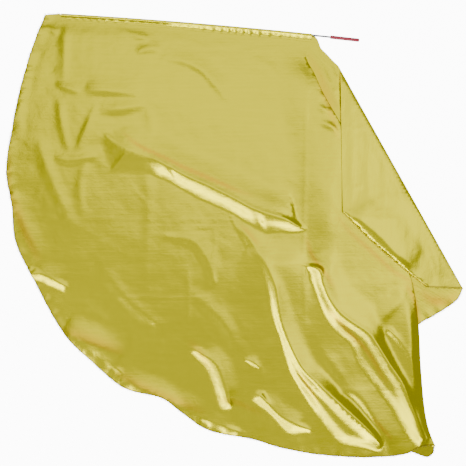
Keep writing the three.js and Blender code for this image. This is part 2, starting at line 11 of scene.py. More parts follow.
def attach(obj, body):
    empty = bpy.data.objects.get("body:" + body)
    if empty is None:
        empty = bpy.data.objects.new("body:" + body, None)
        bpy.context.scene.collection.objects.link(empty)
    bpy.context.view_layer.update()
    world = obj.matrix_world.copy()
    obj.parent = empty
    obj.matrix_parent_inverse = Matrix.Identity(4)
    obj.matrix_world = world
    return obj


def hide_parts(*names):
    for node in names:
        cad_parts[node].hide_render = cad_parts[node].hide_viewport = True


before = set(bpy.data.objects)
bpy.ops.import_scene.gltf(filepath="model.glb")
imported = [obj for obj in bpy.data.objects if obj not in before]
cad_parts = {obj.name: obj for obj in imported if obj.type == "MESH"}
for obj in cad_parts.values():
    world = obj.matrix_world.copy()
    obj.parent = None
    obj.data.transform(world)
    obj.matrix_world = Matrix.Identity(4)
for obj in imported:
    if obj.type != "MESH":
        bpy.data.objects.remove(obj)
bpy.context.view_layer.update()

started = time.time()
degree = math.pi / 180
baseShift = np.array([-0.45, 1.5, 0.0])  # the CAD group's own shift, in millimetres


def report(text):
    print(f"[{time.time() - started:5.1f} s] {text}")


# Where the flat cut comes to lie: the same folds as the solid, in millimetres

lay = {
    "floor": 0.25, "pitch": 4.6, "rodFloor": 0.75,
    "apex": (242.7, 707.6), "rodFar": (-608, 776.5), "rodNear": (441, 686.5), "rodBow": 7,
    "edgeAngle": 5.8, "edgeTurn": 31, "pleatAngle": 15.5, "gatherAngle": 35, "pleatRamp": 110,
    "liftOpens": (30, 200), "foldOpens": (35, 150), "edgeTurns": (34, 85), "casingClear": (20, 150),
    "foldTop": (387, 561), "foldTip": (807, -189), "foldRoll": 4.4, "flapStretch": 1.22,
    "tuckFrom": (378, 88), "tuckTo": (680, -180), "tuckRoll": 4.5, "tuckBulge": 10,
    "tuckedEdge": (40, 190), "tuckedHem": (570, 150, 0.45), "tuckedTip": (690, 110, 0.55),
    "casingTo": 274.7, "casingFrom": -612, "atRod": 25, "pastCasing": 8, "climbFrom": 0.4,
    "overPleat": (8, 150), "settles": 60, "leastRoll": 0.7, "creaseMargin": 3,
}

hemRows = [  # angle down from the right, reach from the apex
    (5.8, 931), (15.6, 971), (20, 999), (26, 1061), (28, 1084), (33, 1096), (37, 1108), (47, 1230),
    (56, 1350), (64, 1430), (69.2, 1530), (70.4, 1556), (71.4, 1548), (72.2, 1524), (74.4, 1512),
    (76, 1523), (80.1, 1514), (85.7, 1492), (92.8, 1464), (97.5, 1441), (103.7, 1437), (107.5, 1405),
    (111.2, 1377), (117, 1399), (123, 1374), (128.4, 1354), (136.8, 1293), (144.5, 1250), (149.3, 1196),
    (155.2, 1156), (162.3, 1079), (171.5, 999), (177.4, 958), (181.5, 931), (184.3, 915),
]

creaseRows = [  # reach from the apex, angle of the pleat's upper crease
    (0, 79), (61, 77.3), (183, 73.1), (339, 67.7), (620, 65.8), (928, 66.2), (1074, 68), (1252, 70.7),
    (1439, 72.4), (1600, 72),
]


def mix(a, b, share):
    return a + (b - a) * share


def smooth(value, start, end):
    share = np.clip((value - start) / (end - start), 0, 1)
    return share * share * (3 - 2 * share)


def through(rows):  # a smooth curve through a table's two columns
    keys = np.array([row[0] for row in rows], float)
    values = np.array([row[1] for row in rows], float)
    before = np.maximum(np.arange(len(keys)) - 1, 0)
    after = np.minimum(np.arange(len(keys)) + 1, len(keys) - 1)
    slope = (values[after] - values[before]) / (keys[after] - keys[before])

    def read(value):
        i = np.clip(np.searchsorted(keys, value, side="left") - 1, 0, len(keys) - 2)
        span = keys[i + 1] - keys[i]
        t = np.clip((value - keys[i]) / span, 0, 1)
        bend = span * t * (1 - t)
        level = mix(values[i], values[i + 1], t * t * (3 - 2 * t))
        return level + bend * ((1 - t) * slope[i] - t * slope[i + 1])

    return read


hemReach = through(hemRows)
creaseAngle = through(creaseRows)


def rodLine(x):
    share = (x - lay["rodFar"][0]) / (lay["rodNear"][0] - lay["rodFar"][0])
    return mix(lay["rodFar"][1], lay["rodNear"][1], share) + 4 * lay["rodBow"] * share * (1 - share)


def fromApex(reach, angle):
    return lay["apex"][0] + reach * np.cos(angle * degree), lay["apex"][1] - reach * np.sin(angle * degree)


def aboutApex(x, y):
    angle = np.arctan2(lay["apex"][1] - y, x - lay["apex"][0]) / degree
    return np.hypot(x - lay["apex"][0], y - lay["apex"][1]), np.where(angle < -90, angle + 360, angle)


class Crease:  # a straight crease: distance along it, and across it to the right of the walk
    def __init__(self, start, end):
        self.start = np.array(start, float)
        step = np.array(end, float) - self.start
        self.length = float(np.hypot(*step))
        self.along = step / self.length
        self.side = np.array([self.along[1], -self.along[0]])

    def read(self, x, y):
        dx, dy = x - self.start[0], y - self.start[1]
        return dx * self.along[0] + dy * self.along[1], dx * self.side[0] + dy * self.side[1]

    def place(self, along, across):
        return (self.start[0] + along * self.along[0] + across * self.side[0],
                self.start[1] + along * self.along[1] + across * self.side[1])


sideFold = Crease(lay["foldTip"], lay["foldTop"])
cornerTuck = Crease(lay["tuckFrom"], lay["tuckTo"])


def pleatLift(reach, angle):  # flat at the apex and along the casing's seam
    x, y = fromApex(reach, angle)
    clear = np.where(x > lay["casingTo"], 1, smooth(rodLine(x) - y, *lay["casingClear"]))
    return smooth(reach, *lay["liftOpens"]) * clear


def pleat(reach, angle):  # main layer, a return below it, then the lowest layer, turned about the apex
    crease = creaseAngle(reach)
    folded = smooth(reach, *lay["foldOpens"])
    lift = pleatLift(reach, angle)
    roll = np.maximum(0.01, lift * lay["pitch"] / 2)
    arc = degree * np.maximum(reach, 1)
    ahead = (crease - angle) * arc
    width = lay["pleatAngle"] * arc
    turn = math.pi * roll
    onCrease = (ahead > 0) & (ahead <= turn)
    onReturn = (ahead > turn) & (ahead <= turn + width)
    onTurn = (ahead > turn + width) & (ahead <= 2 * turn + width)
    lowest = ahead > 2 * turn + width
    bend = (ahead - turn - width) / roll
    free = ahead - 2 * turn - 2 * width
    parts = [roll * np.sin(ahead / roll), turn - ahead, -width - roll * np.sin(bend), free]
    across = np.select([onCrease, onReturn, onTurn, lowest], parts, ahead)
    level = np.select(
        [onCrease, onReturn, onTurn, lowest],
        [2 - (1 - np.cos(ahead / roll)) / 2, 1, 1 - (1 - np.cos(bend)) / 2, 0],
        2 * smooth(ahead + width, -lay["pleatRamp"], -roll - lay["creaseMargin"]))
    opening = 2 * np.maximum(0, 1 - ahead / (2 * turn + width))
    level = np.where(ahead > 0, mix(opening, level, folded), level)
    gathered = crease + lay["gatherAngle"]
    edge = lay["edgeAngle"] + lay["edgeTurn"] * smooth(reach, *lay["edgeTurns"])
    squeeze = (gathered - edge) / (gathered - lay["edgeAngle"])
    opened = np.where(angle > gathered, angle, gathered - (gathered - angle) * squeeze)
    turned = mix(opened, crease - across / arc, folded)
    stage = np.select([ahead <= 0, onCrease, onReturn | onTurn], [0, 1, 2], 3)
    return turned, level * lay["pitch"] * lift, level, ahead, stage


def bulgeAt(along):
    return lay["tuckBulge"] * np.sin(math.pi * np.clip(along / cornerTuck.length, 0, 1))


def tuckShare(x, y):
    pastEdge = smooth(y, lay["tuckedEdge"][0], sum(lay["tuckedEdge"]))
    pastHem = smooth(x, lay["tuckedHem"][0], sum(lay["tuckedHem"][:2]))
    pastTip = smooth(x, lay["tuckedTip"][0], sum(lay["tuckedTip"][:2]))
    return (1 - pastEdge) * (1 - lay["tuckedHem"][2] * pastHem - lay["tuckedTip"][2] * pastTip)


def flapHeight(x, y, back):  # over the layers below it and over its own tucked corner
    reach, angle = aboutApex(x, y)
    overPleat = 1 - smooth((creaseAngle(reach) - angle) * degree * reach, *lay["overPleat"])
    settled = mix(2 * lay["foldRoll"], lay["pitch"], smooth(back, 0, lay["settles"]))
    return settled + 2 * lay["pitch"] * overPleat + 2 * lay["tuckRoll"] * tuckShare(x, y)


# Folds of each layer, listed one by one

bands = {  # lit flanks: crest, foot, steepness, greatest height, width of the far side, trough in the flank
    "waist": {"crest": [(-465, 367), (-427, 333), (-360, 292), (-281, 266), (-219, 233), (-154, 200),
        (-87, 171), (-9, 132), (46, 102), (89, 83), (149, 64), (184, 53), (216, 34), (246, 18)],
        "foot": [(-479, 335), (-458, 279), (-426, 222), (-356, 218), (-281, 206), (-227, 184), (-186, 160),
        (-133, 130), (-69, 102), (-9, 75), (41, 42), (78, 18), (103, 4), (157, 8), (230, 6), (246, 15)],
        "steep": [(0, 0.09), (0.24, 0.16), (0.33, 0.36), (1, 0.4)], "top": 24, "far": 110},
    "long": {"crest": [(-12, 66), (5, 31), (41, -1), (68, -36), (94, -75), (121, -125), (144, -182),
        (154, -238), (161, -288), (175, -337), (203, -403), (242, -474), (287, -519), (332, -560),
        (386, -610), (441, -659), (486, -704), (513, -737)],
        "foot": [(-16, 56), (-5, 24), (20, -19), (55, -79), (83, -139), (101, -196), (119, -259),
        (140, -316), (161, -373), (197, -487), (242, -564), (287, -628), (323, -677), (368, -730),
        (430, -748), (505, -766)],
        "steep": [(0, 0.06), (0.1, 0.16), (0.22, 0.32), (0.6, 0.4), (1, 0.42)], "top": 25, "far": [(0, 60),
        (0.6, 60), (0.74, 50), (1, 34)], "trough": [(0, 0), (0.5, 0), (0.64, 1), (0.9, 1), (1, 0)]},
    "side": {"crest": [(246, -108), (300, -122), (310, -167), (332, -221), (368, -271), (413, -307),
        (467, -343), (495, -379), (540, -451), (580, -510), (598, -546), (616, -596), (644, -655),
        (666, -704), (682, -730)],
        "foot": [(243, -114), (264, -158), (287, -208), (314, -280), (350, -334), (409, -388), (427, -438),
        (459, -487), (486, -524), (512, -560), (547, -606), (579, -660), (607, -709), (632, -741)],
        "steep": [(0, 0.34), (0.18, 0.4), (1, 0.4)], "top": 24, "far": [(0, 110), (0.4, 110), (0.5, 50),
        (1, 40)], "trough": [(0, 0), (0.24, 0), (0.36, 1), (0.68, 1), (0.8, 0.3), (1, 0)]},
    "rim": {"crest": [(546, -334), (600, -400), (643, -486)],
        "foot": [(532, -352), (580, -418), (622, -488)],
        "steep": 0.42, "top": 9, "far": 40},
    "blob": {"crest": [(94, -567), (147, -627), (197, -661), (267, -688)],
        "foot": [(59, -589), (122, -631), (158, -670), (197, -706), (260, -698)],
        "steep": 0.26, "top": 14, "far": 60},
    "swirl": {"crest": [(-133, -408), (-65, -458), (-37, -529), (-16, -599)],
        "foot": [(-152, -422), (-102, -478), (-76, -538), (-56, -606)],
        "steep": 0.22, "top": 10, "far": 60},
    "fleck": {"crest": [(41, -442), (66, -451), (87, -468)],
        "foot": [(41, -449), (59, -465), (83, -475)],
        "steep": 0.27, "top": 5, "far": 30},
    "knee": {"crest": [(-242, -5), (-150, -22), (-104, -75), (-79, -125), (-72, -167)],
        "foot": [(-253, -22), (-168, -47), (-125, -97), (-111, -146), (-108, -182)],
        "steep": [(0, 0.1), (1, 0.12)], "top": 5, "far": 60},
    "leftRim": {"crest": [(-731, -125), (-667, -146), (-596, -182)],
        "foot": [(-731, -146), (-674, -175), (-610, -199)],
        "steep": 0.2, "top": 9, "far": 60},
    "lowRim": {"crest": [(-518, -401), (-465, -436), (-398, -486)],
        "foot": [(-526, -419), (-479, -458), (-419, -511)],
        "steep": 0.16, "top": 10, "far": 60},
    "footRim": {"crest": [(-157, -631), (-76, -663), (13, -695)],
        "foot": [(-164, -645), (-87, -684), (-5, -716)],
        "steep": 0.21, "top": 10, "far": 60},
}

mainStrokes = [  # height, reach to the left and right of the walk, crest line
    (3, 14, 30, [(-299, 290), (-157, 229), (9, 150), (90, 118)]),
    (3, 36, 42, [(98, -40), (161, -51), (243, -54)]),
    (5, 66, 24, [(-526, 512), (-476, 509), (-405, 503), (-324, 493)]),
    (5, 56, 27, [(-476, 441), (-412, 443), (-363, 450), (-310, 464)]),
    (2.5, 18, 40, [(-313, 456), (-295, 417), (-288, 378), (-292, 318)]),
    (3, 18, 40, [(-596, 739), (-596, 654), (-603, 548)]),
    (3, 30, 16, [(-632, 533), (-596, 519), (-547, 505)]),
    (4, 32, 18, [(-416, 732), (-377, 714), (-331, 700), (-299, 689)]),
    (3.8, 34, 16, [(-349, 643), (-306, 654), (-256, 654)]),
    (4, 52, 20, [(-264, 629), (-175, 611), (-111, 576), (-65, 526), (-19, 466)]),
    (1.8, 30, 20, [(44, 618), (122, 594), (172, 523)]),
    (3, 22, 30, [(-618, 484), (-607, 388), (-582, 279)]),
    (3, 24, 24, [(-487, 463), (-518, 385), (-561, 282)]),
    (3.5, 30, 22, [(-635, 279), (-564, 272), (-487, 279)]),
    (3, 40, 34, [(-699, 356), (-678, 282), (-646, 194), (-610, 112), (-568, -1)]),
    (3, 20, 30, [(-518, 272), (-543, 172), (-536, 70)]),
    (3, 12, 12, [(-345, 284), (-384, 261), (-430, 229)]),
    (3, 25, 25, [(-731, 583), (-752, 477), (-766, 335)]),
    (2.2, 34, 40, [(-334, 300), (-299, 123), (-310, -97)]),
    (2.5, 36, 38, [(-476, -90), (-377, -231), (-235, -337)]),
    (3, 36, 38, [(-157, -196), (-44, -302), (20, -415)]),
    (3, 36, 36, [(303, -390), (367, -486), (416, -564)]),
    (7, 45, 70, [(579, -182), (586, -231), (526, -284), (487, -330)]),
    (4, 16, 26, [(-681, 725), (-653, 732), (-618, 714)]),
    (1.6, 12, 12, [(-168, -97), (-161, -231), (-172, -390)]),
    (14, 90, 150, [(-610, -337), (-533, -376), (-391, -429)]),
    (12, 72, 120, [(-433, -493), (-299, -557), (-101, -642)]),
    (4.5, 50, 60, [(-780, 151), (-745, 34), (-681, -97)]),
    (12, 80, 210, [(34, -54), (98, -82), (144, -107), (197, -106), (253, -97)]),
    (4, 14, 18, [(289, 505), (324, 487), (367, 473)]),
    (5, 14, 20, [(296, 452), (338, 434), (374, 410)]),
    (5, 14, 20, [(303, 399), (345, 381), (374, 356)]),
    (3, 14, 14, [(246, 696), (253, 664), (271, 611)]),
    (14, 24, 125, [(636, -203), (632, -337), (643, -486), (657, -656)]),
    (8.5, 80, 32, [(359, -557), (409, -553), (444, -575), (480, -628), (515, -688), (558, -783)]),
    (4.2, 30, 22, [(-639, 272), (-582, 261), (-533, 268), (-483, 279)]),
]

mainDents = [  # the same, pressed in
    (2, 16, 18, [(74, 84), (91, 45), (108, 2)]),
    (1.5, 10, 10, [(-235, 247), (-207, 201)]),
]

paintedReflectionStrokes = [  # painted reflection, amber painted where the sheet mirrors itself in its folds and under the flap's edge: strength, reach to each side, line
    (1, 12, 12, [(-384, 337), (-327, 309), (-241, 268), (-186, 241), (-118, 214), (-68, 191), (-14, 164),
        (30, 148), (69, 137)]),
    (0.7, 14, 14, [(20, 38), (55, 2), (90, -40)]),
    (1, 14, 14, [(253, -5), (275, -75), (317, -132), (352, -189)]),
    (1, 13, 13, [(324, -249), (345, -280), (395, -334), (449, -388), (486, -438), (522, -501),
        (544, -525)]),
    (0.8, 10, 10, [(221, -483), (260, -536), (300, -596)]),
    (1, 10, 10, [(483, -638), (529, -691), (558, -723)]),
    (1, 16, 16, [(600, -171), (636, -231), (657, -337)]),
    (0.6, 20, 20, [(296, 548), (338, 441), (367, 335)]),
    (0.8, 30, 30, [(657, -196), (699, -231), (749, -224)]),
    (0.9, 12, 16, [(363, 66), (409, 10), (480, -54), (558, -125), (621, -164), (650, -203)]),
    (0.6, 16, 16, [(-795, 300), (-798, 194), (-787, 70)]),
    (0.5, 20, 20, [(-164, -373), (-122, -415), (-79, -486)]),
    (0.5, 16, 16, [(-69, -585), (5, -592), (98, -635)]),
    (0.8, 50, 12, [(-610, -337), (-533, -369), (-391, -422)]),
    (0.8, 36, 12, [(-433, -486), (-299, -550), (-101, -635)]),
    (0.8, 30, 20, [(-787, 151), (-752, 34), (-688, -97)]),
    (1, 10, 10, [(-398, 364), (-327, 310), (-228, 261), (-122, 211), (20, 158)]),
    (0.7, 26, 26, [(692, -231), (742, -242), (791, -203)]),
    (0.5, 26, 26, [(253, 647), (310, 548), (367, 434)]),
]

thinStrokes = [  # packing creases and small puckers
    (0.35, 12, 12, [(-310, 672), (-306, 300), (-310, -54), (-302, -514)]),
    (0.8, 6, 6, [(4, 477), (4, 335), (4, 187)]),
    (1.5, 8, 11, [(250, 626), (253, 300), (246, -19), (253, -344)]),
    (0.5, 8, 8, [(-759, 307), (-511, 300), (-264, 303), (232, 293)]),
    (0.5, 8, 8, [(-780, 56), (-476, 56), (-122, 52), (232, 48)]),
    (0.6, 8, 8, [(-688, -224), (-405, -221), (-122, -224), (232, -231)]),
    (1.0, 6, 6, [(232, -543), (374, -546), (590, -546)]),
    (1.0, 5, 5, [(158, 142), (193, 142)]),
    (0.9, 6, 8, [(158, 123), (197, 70), (243, 31)]),
    (1.2, 6, 7, [(257, 569), (282, 519), (306, 473)]),
    (1.2, 6, 7, [(289, 452), (328, 438)]),
    (1.2, 7, 7, [(335, 402), (352, 371), (370, 342)]),
    (1.2, 7, 7, [(243, 696), (250, 675), (253, 640)]),
    (1.2, 7, 7, [(-688, 735), (-660, 728), (-632, 714)]),
    (1.1, 6, 6, [(-368, 176), (-306, 103), (-311, 52)]),
    (1.0, 5, 5, [(-260, 133), (-281, 118), (-298, 105)]),
    (1.2, 6, 6, [(-172, 34), (-111, 27), (-72, 31)]),
    (1.2, 7, 7, [(-72, 31), (-69, -36), (-79, -97)]),
    (1.0, 5, 5, [(-487, 247), (-472, 254), (-458, 243)]),
    (1.2, 6, 6, [(-299, -309), (-285, -302), (-271, -316)]),
    (2.0, 11, 11, [(-349, 307), (-391, 272), (-441, 222)]),
]

lowestStrokes = [
    (2.4, 8, 8, [(303, 643), (292, 608), (317, 519), (331, 495)]),
    (2.4, 8, 8, [(324, 498), (349, 509), (370, 516)]),
    (2.4, 14, 14, [(296, 618), (338, 530), (374, 441)]),
    (2.4, 11, 11, [(338, 611), (352, 565), (367, 495)]),
    (2.4, 14, 14, [(675, -337), (692, -390), (685, -444)]),
]

flapBands = [
    {"crest": [(390, 92), (417, 70), (461, 36), (512, -8), (561, -62), (603, -90), (646, -117)],
        "foot": [(374, 77), (398, 48), (437, 13), (483, -31), (536, -88), (579, -120), (643, -146)],
        "steep": [(0, 0), (0.1, 0.12), (0.22, 0.42), (0.62, 0.42), (1, 0)], "top": 9, "far": 110,
        "ramp": 35, "sharp": 0.04},
]

flapStrokes = [
    (0.8, 12, 12, [(416, 73), (473, 59), (533, 52), (604, 59), (646, 73)]),
    (0.8, 12, 12, [(642, 73), (643, -19), (641, -132)]),
    (1.4, 18, 18, [(409, 512), (416, 371), (413, 123)]),
    (1.4, 18, 18, [(466, 406), (473, 264), (466, 80)]),
    (1.2, 14, 14, [(522, 300), (529, 194), (526, 73)]),
    (1.2, 14, 14, [(586, 187), (590, 123), (586, 66)]),
    (2, 18, 18, [(692, -19), (713, -97), (721, -175)]),
    (1.6, 14, 14, [(657, 45), (713, -40), (777, -167)]),
    (1.4, 10, 12, [(384, 381), (430, 374), (476, 378)]),
    (2.0, 20, 34, [(476, 378), (536, 264), (593, 144), (632, 63)]),
    (1.4, 10, 10, [(388, 172), (416, 165), (452, 172)]),
]


curveStep = 9.0


def curve(points, step=curveStep):  # a smooth line through a few points, in short steps
    spots = np.array(points, float)
    if len(spots) == 2:
        count = max(2, int(np.hypot(*(spots[1] - spots[0])) / step))
        return spots[0] + (spots[1] - spots[0]) * np.linspace(0, 1, count + 1)[:, None]
    padded = np.vstack([2 * spots[0] - spots[1], spots, 2 * spots[-1] - spots[-2]])
    line = []
    for a, b, c, d in zip(padded, padded[1:], padded[2:], padded[3:]):
        count = max(1, int(round(np.hypot(*(c - b)) / step)))
        t = (np.arange(count) / count)[:, None]
        cubic = (3 * b - a - 3 * c + d) * t ** 3
        line.append(0.5 * (2 * b + (c - a) * t + (2 * a - 5 * b + 4 * c - d) * t ** 2 + cubic))
    return np.vstack(line + [spots[-1:]])


def nearest(line, x, y):  # distance, place 0 to 1, side (+ is left of the walk), distance past an end
    best = np.full(x.shape, np.inf)
    place = np.zeros(x.shape)
    side = np.zeros(x.shape)
    past = np.zeros(x.shape)
    last = len(line) - 2
    for i in range(last + 1):
        step = line[i + 1] - line[i]
        length = max(1e-6, float(np.hypot(*step)))
        px, py = x - line[i, 0], y - line[i, 1]
        free = (px * step[0] + py * step[1]) / length ** 2
        t = np.clip(free, 0, 1)
        gap = np.hypot(px - t * step[0], py - t * step[1])
        closer = gap < best
        best = np.where(closer, gap, best)
        place = np.where(closer, (i + t) / (last + 1), place)
        side = np.where(closer, np.sign(step[0] * py - step[1] * px), side)
        over = np.zeros(x.shape)
        if i == 0:
            over = np.maximum(over, -free * length)
        if i == last:
            over = np.maximum(over, (free - 1) * length)
        past = np.where(closer, over, past)
    return best, place, side, past


def nearby(line, x, y, margin):
    low, high = line.min(0) - margin, line.max(0) + margin
    return (x > low[0]) & (x < high[0]) & (y > low[1]) & (y < high[1])


strokeLook = {"round": 0.03, "reach": 1.015, "fall": 0.84, "power": 1.5, "end": 0.02, "endPower": 0.7}


def strokeHeight(x, y, row):
    height, left, right, spine = row
    line = curve(spine)
    close = nearby(line, x, y, max(left, right))
    gap, place, side, _ = nearest(line, x[close], y[close])
    share = np.sqrt((gap / np.where(side > 0, left, right)) ** 2 + strokeLook["round"])
    fall = np.clip((strokeLook["reach"] - share) / strokeLook["fall"], 0, 1) ** strokeLook["power"]
    out = np.zeros(x.shape)
    out[close] = height * fall * (4 * place * (1 - place) + strokeLook["end"]) ** strokeLook["endPower"]
    return out


bandLook = {"margin": 20, "troughWidth": 0.14, "troughDepth": 1.25, "bend": 0.04, "settle": 0.6,
            "sharp": 0.15, "crestRoll": 15, "ends": 26}


def tabled(band, key):  # places along the crest and the values there, also where the band gives one number
    rows = band.get(key, 0)
    return np.array(rows if isinstance(rows, list) else [(0, rows), (1, rows)], float).T


def bandHeight(x, y, band):
    crest, foot = curve(band["crest"]), curve(band["foot"])
    close = nearby(crest, x, y, tabled(band, "far")[1].max() + bandLook["margin"])
    toCrest, place, side, past = nearest(crest, x[close], y[close])
    toFoot, _, footSide, footPast = nearest(foot, x[close], y[close])
    widths = nearest(foot, crest[:, 0], crest[:, 1])[0]
    width = np.interp(place, np.linspace(0, 1, len(widths)), widths)
    steep, far, trough = (np.interp(place, *tabled(band, key)) for key in ("steep", "far", "trough"))
    rise = width * steep
    top = rise / (1 + (rise / band["top"]) ** 4) ** 0.25
    share = toFoot / np.maximum(1e-6, toFoot + toCrest)
    wide = bandLook["troughWidth"]
    dip = bandLook["troughDepth"] * wide * trough
    sunk = dip * (np.tanh((share - 0.5) / wide) + np.tanh(0.5 / wide))
    front = share - bandLook["bend"] * np.sin(2 * math.pi * share) - sunk
    top = top * (1 - dip * bandLook["settle"])
    front = top * front / (1 - 2 * dip * np.tanh(0.5 / wide))
    toEnd = np.minimum(place, 1 - place) * (curveStep * (len(crest) - 1))
    broad = (1 - band.get("sharp", bandLook["sharp"])) * smooth(toEnd, 0, band.get("ramp", far))
    narrow = 1 - smooth(toCrest, 0, bandLook["crestRoll"])
    back = top * ((1 - broad) * narrow + broad * (1 - smooth(toCrest / far, 0, 1)))
    ends = 1 - smooth(np.maximum(past, footPast), 0, bandLook["ends"])
    out = np.zeros(x.shape)
    out[close] = np.where(side > 0, back, np.where(footSide > 0, front, 0)) * ends
    return out


def together(layers, power=3.0):  # folds that meet blend instead of adding up
    total = sum(np.maximum(layer, 0) ** power for layer in layers)
    return total ** (1 / power)


def field(x, y, size, seed, octaves=2):  # soft random height, -1 to 1
    spots = (Vector((a / size, b / size, seed)) for a, b in zip(x, y))
    return np.array([noise.fractal(spot, 1.0, 2.0, octaves) for spot in spots])


reliefLook = {
    "swell": 1.6, "swellField": (190, 3.1), "crumple": 0.7, "crumpleField": (46, 7.7, 3), "calm": 0.75,
    "calmAt": 7, "low": 0.5, "lowSize": 60, "lowDetail": 3, "belowRod": (18, 70), "pastApex": (60, 200),
    "flapSide": (330, 390), "flapTop": (-190, -110), "underFlap": 0.6,
}


def mainRelief(x, y):
    folds = together([bandHeight(x, y, band) for band in bands.values()]
                     + [strokeHeight(x, y, row) for row in mainStrokes])
    thin = sum(strokeHeight(x, y, row) for row in thinStrokes)
    thin = thin - sum(strokeHeight(x, y, row) for row in mainDents)
    swell = reliefLook["swell"] * (1 + field(x, y, *reliefLook["swellField"]))
    calm = 1 - reliefLook["calm"] * np.clip(folds / reliefLook["calmAt"], 0, 1)
    crumple = reliefLook["crumple"] * (1 + field(x, y, *reliefLook["crumpleField"])) * calm
    reach, _ = aboutApex(x, y)
    under = smooth(x, *reliefLook["flapSide"]) * smooth(y, *reliefLook["flapTop"])
    free = smooth(rodLine(x) - y, *reliefLook["belowRod"]) * smooth(reach, *reliefLook["pastApex"])
    shallow = (thin + swell + crumple) * free * (1 - reliefLook["underFlap"] * under)
    return folds * free * (1 - under) + shallow


def lowRelief(x, y, strokes, seed):
    folds = together([strokeHeight(x, y, row) for row in strokes])
    return folds + reliefLook["low"] * (1 + field(x, y, reliefLook["lowSize"], seed, reliefLook["lowDetail"]))


def layFlat(u, v):  # x, y, z of the cloth's middle, and which layer it is in
    reach, angle = aboutApex(u, v)
    turned, lift, level, ahead, stage = pleat(reach, angle)
    x, y = fromApex(reach, turned)
    atRod = (1 - smooth(rodLine(x) - y, 0, lay["atRod"])) * (x < lay["casingTo"] + lay["pastCasing"])
    z = mix(lay["floor"], lay["rodFloor"], atRod) + lift
    fold, across = sideFold.read(x, y)
    past = across + lay["foldRoll"]
    turn = math.pi * lay["foldRoll"]
    rolling = (past > 0) & (past < turn)
    over = past >= turn
    rx, ry = sideFold.place(fold, lay["foldRoll"] * (np.sin(past / lay["foldRoll"]) - 1))
    climb = (flapHeight(rx, ry, 0) - 2 * lay["foldRoll"]) * smooth(past / turn, lay["climbFrom"], 1)
    rz = z + lay["foldRoll"] * (1 - np.cos(past / lay["foldRoll"])) + climb
    back = (past - turn) * lay["flapStretch"]
    cx, cy = sideFold.place(fold, -lay["foldRoll"] - back)
    cz = lay["floor"] + flapHeight(cx, cy, back)
    along, tuckAcross = cornerTuck.read(cx, cy)
    bulge = bulgeAt(along)
    under = tuckAcross - bulge
    tucked = over & (under > 0)
    roll = np.maximum(lay["leastRoll"], lay["tuckRoll"] * tuckShare(*cornerTuck.place(along, bulge)))
    bend = np.minimum(math.pi, under / roll)
    tx, ty = cornerTuck.place(along, bulge + roll * np.sin(bend) - np.maximum(0, under - math.pi * roll))
    tz = lay["floor"] + flapHeight(tx, ty, np.maximum(back, lay["settles"])) - roll * (1 - np.cos(bend))
    layer = np.select([tucked, over, rolling], [6, 5, 4], stage)
    x, y, z = (np.select([tucked, over, rolling], parts, own)
               for parts, own in (([tx, cx, rx], x), ([ty, cy, ry], y), ([tz, cz, rz], z)))
    return x, y, z, layer, level, ahead, back


hemLook = {"farthest": 400, "opens": (300, 500), "tucked": 0.2,
           "scallop": 2.4, "scallopReach": 42, "scallopWave": (1.9, 3, 0.37),
           "crimp": 2.8, "crimpReach": 32, "crimpFrom": (80, 120), "crimpWave": (1.5, 2, 0.9)}
drapeLook = {"least": 0.25, "fades": 40, "lowSeed": 12.5, "lowFrom": 2, "lowSpan": 60,
             "lowPastApex": (60, 200), "flapSeed": 21.5, "flapSpan": 30,
             "grain": 0.6, "grainSize": 15, "grainSeed": 5.5, "grainStretch": 5}


def hemWave(angle, fast, sway, slow):
    return np.sin(angle * fast + sway * np.sin(angle * slow))


def drape(u, v):  # the laid cloth with the folds of each layer on it
    x, y, z, layer, level, ahead, back = layFlat(u, v)
    reach, angle = aboutApex(u, v)
    edge = np.minimum(hemReach(angle) - reach, hemLook["farthest"])
    scallop = hemLook["scallop"] * (1 - smooth(edge, 0, hemLook["scallopReach"]))
    scallop = scallop * (0.5 + 0.5 * hemWave(angle, *hemLook["scallopWave"]))
    crimp = hemLook["crimp"] * (1 - smooth(edge, 0, hemLook["crimpReach"]))
    crimp = crimp * smooth(angle, *hemLook["crimpFrom"]) * hemWave(angle, *hemLook["crimpWave"]) ** 2
    opened = smooth(reach, *hemLook["opens"]) * np.where(layer == 6, hemLook["tucked"], 1)
    z = z + (scallop + crimp) * (layer != 2) * opened
    main = (layer == 0) | (layer == 1)
    relief = mainRelief(x[main], y[main])
    onMain = mix(drapeLook["least"], 1, smooth(-ahead[main], 0, drapeLook["fades"]))
    onRoll = drapeLook["least"] * np.clip(level[main] - 1, 0, 1)
    z[main] += relief * np.where(layer[main] == 0, onMain, onRoll)
    low = layer == 3
    lowOpens = smooth(ahead[low] - drapeLook["lowFrom"], 0, drapeLook["lowSpan"])
    lowOpens = lowOpens * smooth(reach[low], *drapeLook["lowPastApex"])
    z[low] += lowRelief(x[low], y[low], lowestStrokes, drapeLook["lowSeed"]) * lowOpens
    flap = layer == 5
    ridges = together([bandHeight(x[flap], y[flap], band) for band in flapBands])
    stretched = y[flap] / drapeLook["grainStretch"]
    grain = field(x[flap], stretched, drapeLook["grainSize"], drapeLook["grainSeed"])
    creased = lowRelief(x[flap], y[flap], flapStrokes, drapeLook["flapSeed"]) + drapeLook["grain"] * grain
    z[flap] += ridges + creased * smooth(back[flap], 0, drapeLook["flapSpan"])
    # painted reflection: the share of amber painted into the colour along the strokes where the sheet mirrors
    # itself
    reflectionPaint = np.zeros(len(x))
    top = main | flap | low
    reflectionPaint[top] = np.clip(sum(strokeHeight(x[top], y[top], row) for row in paintedReflectionStrokes), 0, 1)
    return np.stack([x, y, z], 1), reflectionPaint, edge


# The fine mesh of the cloth

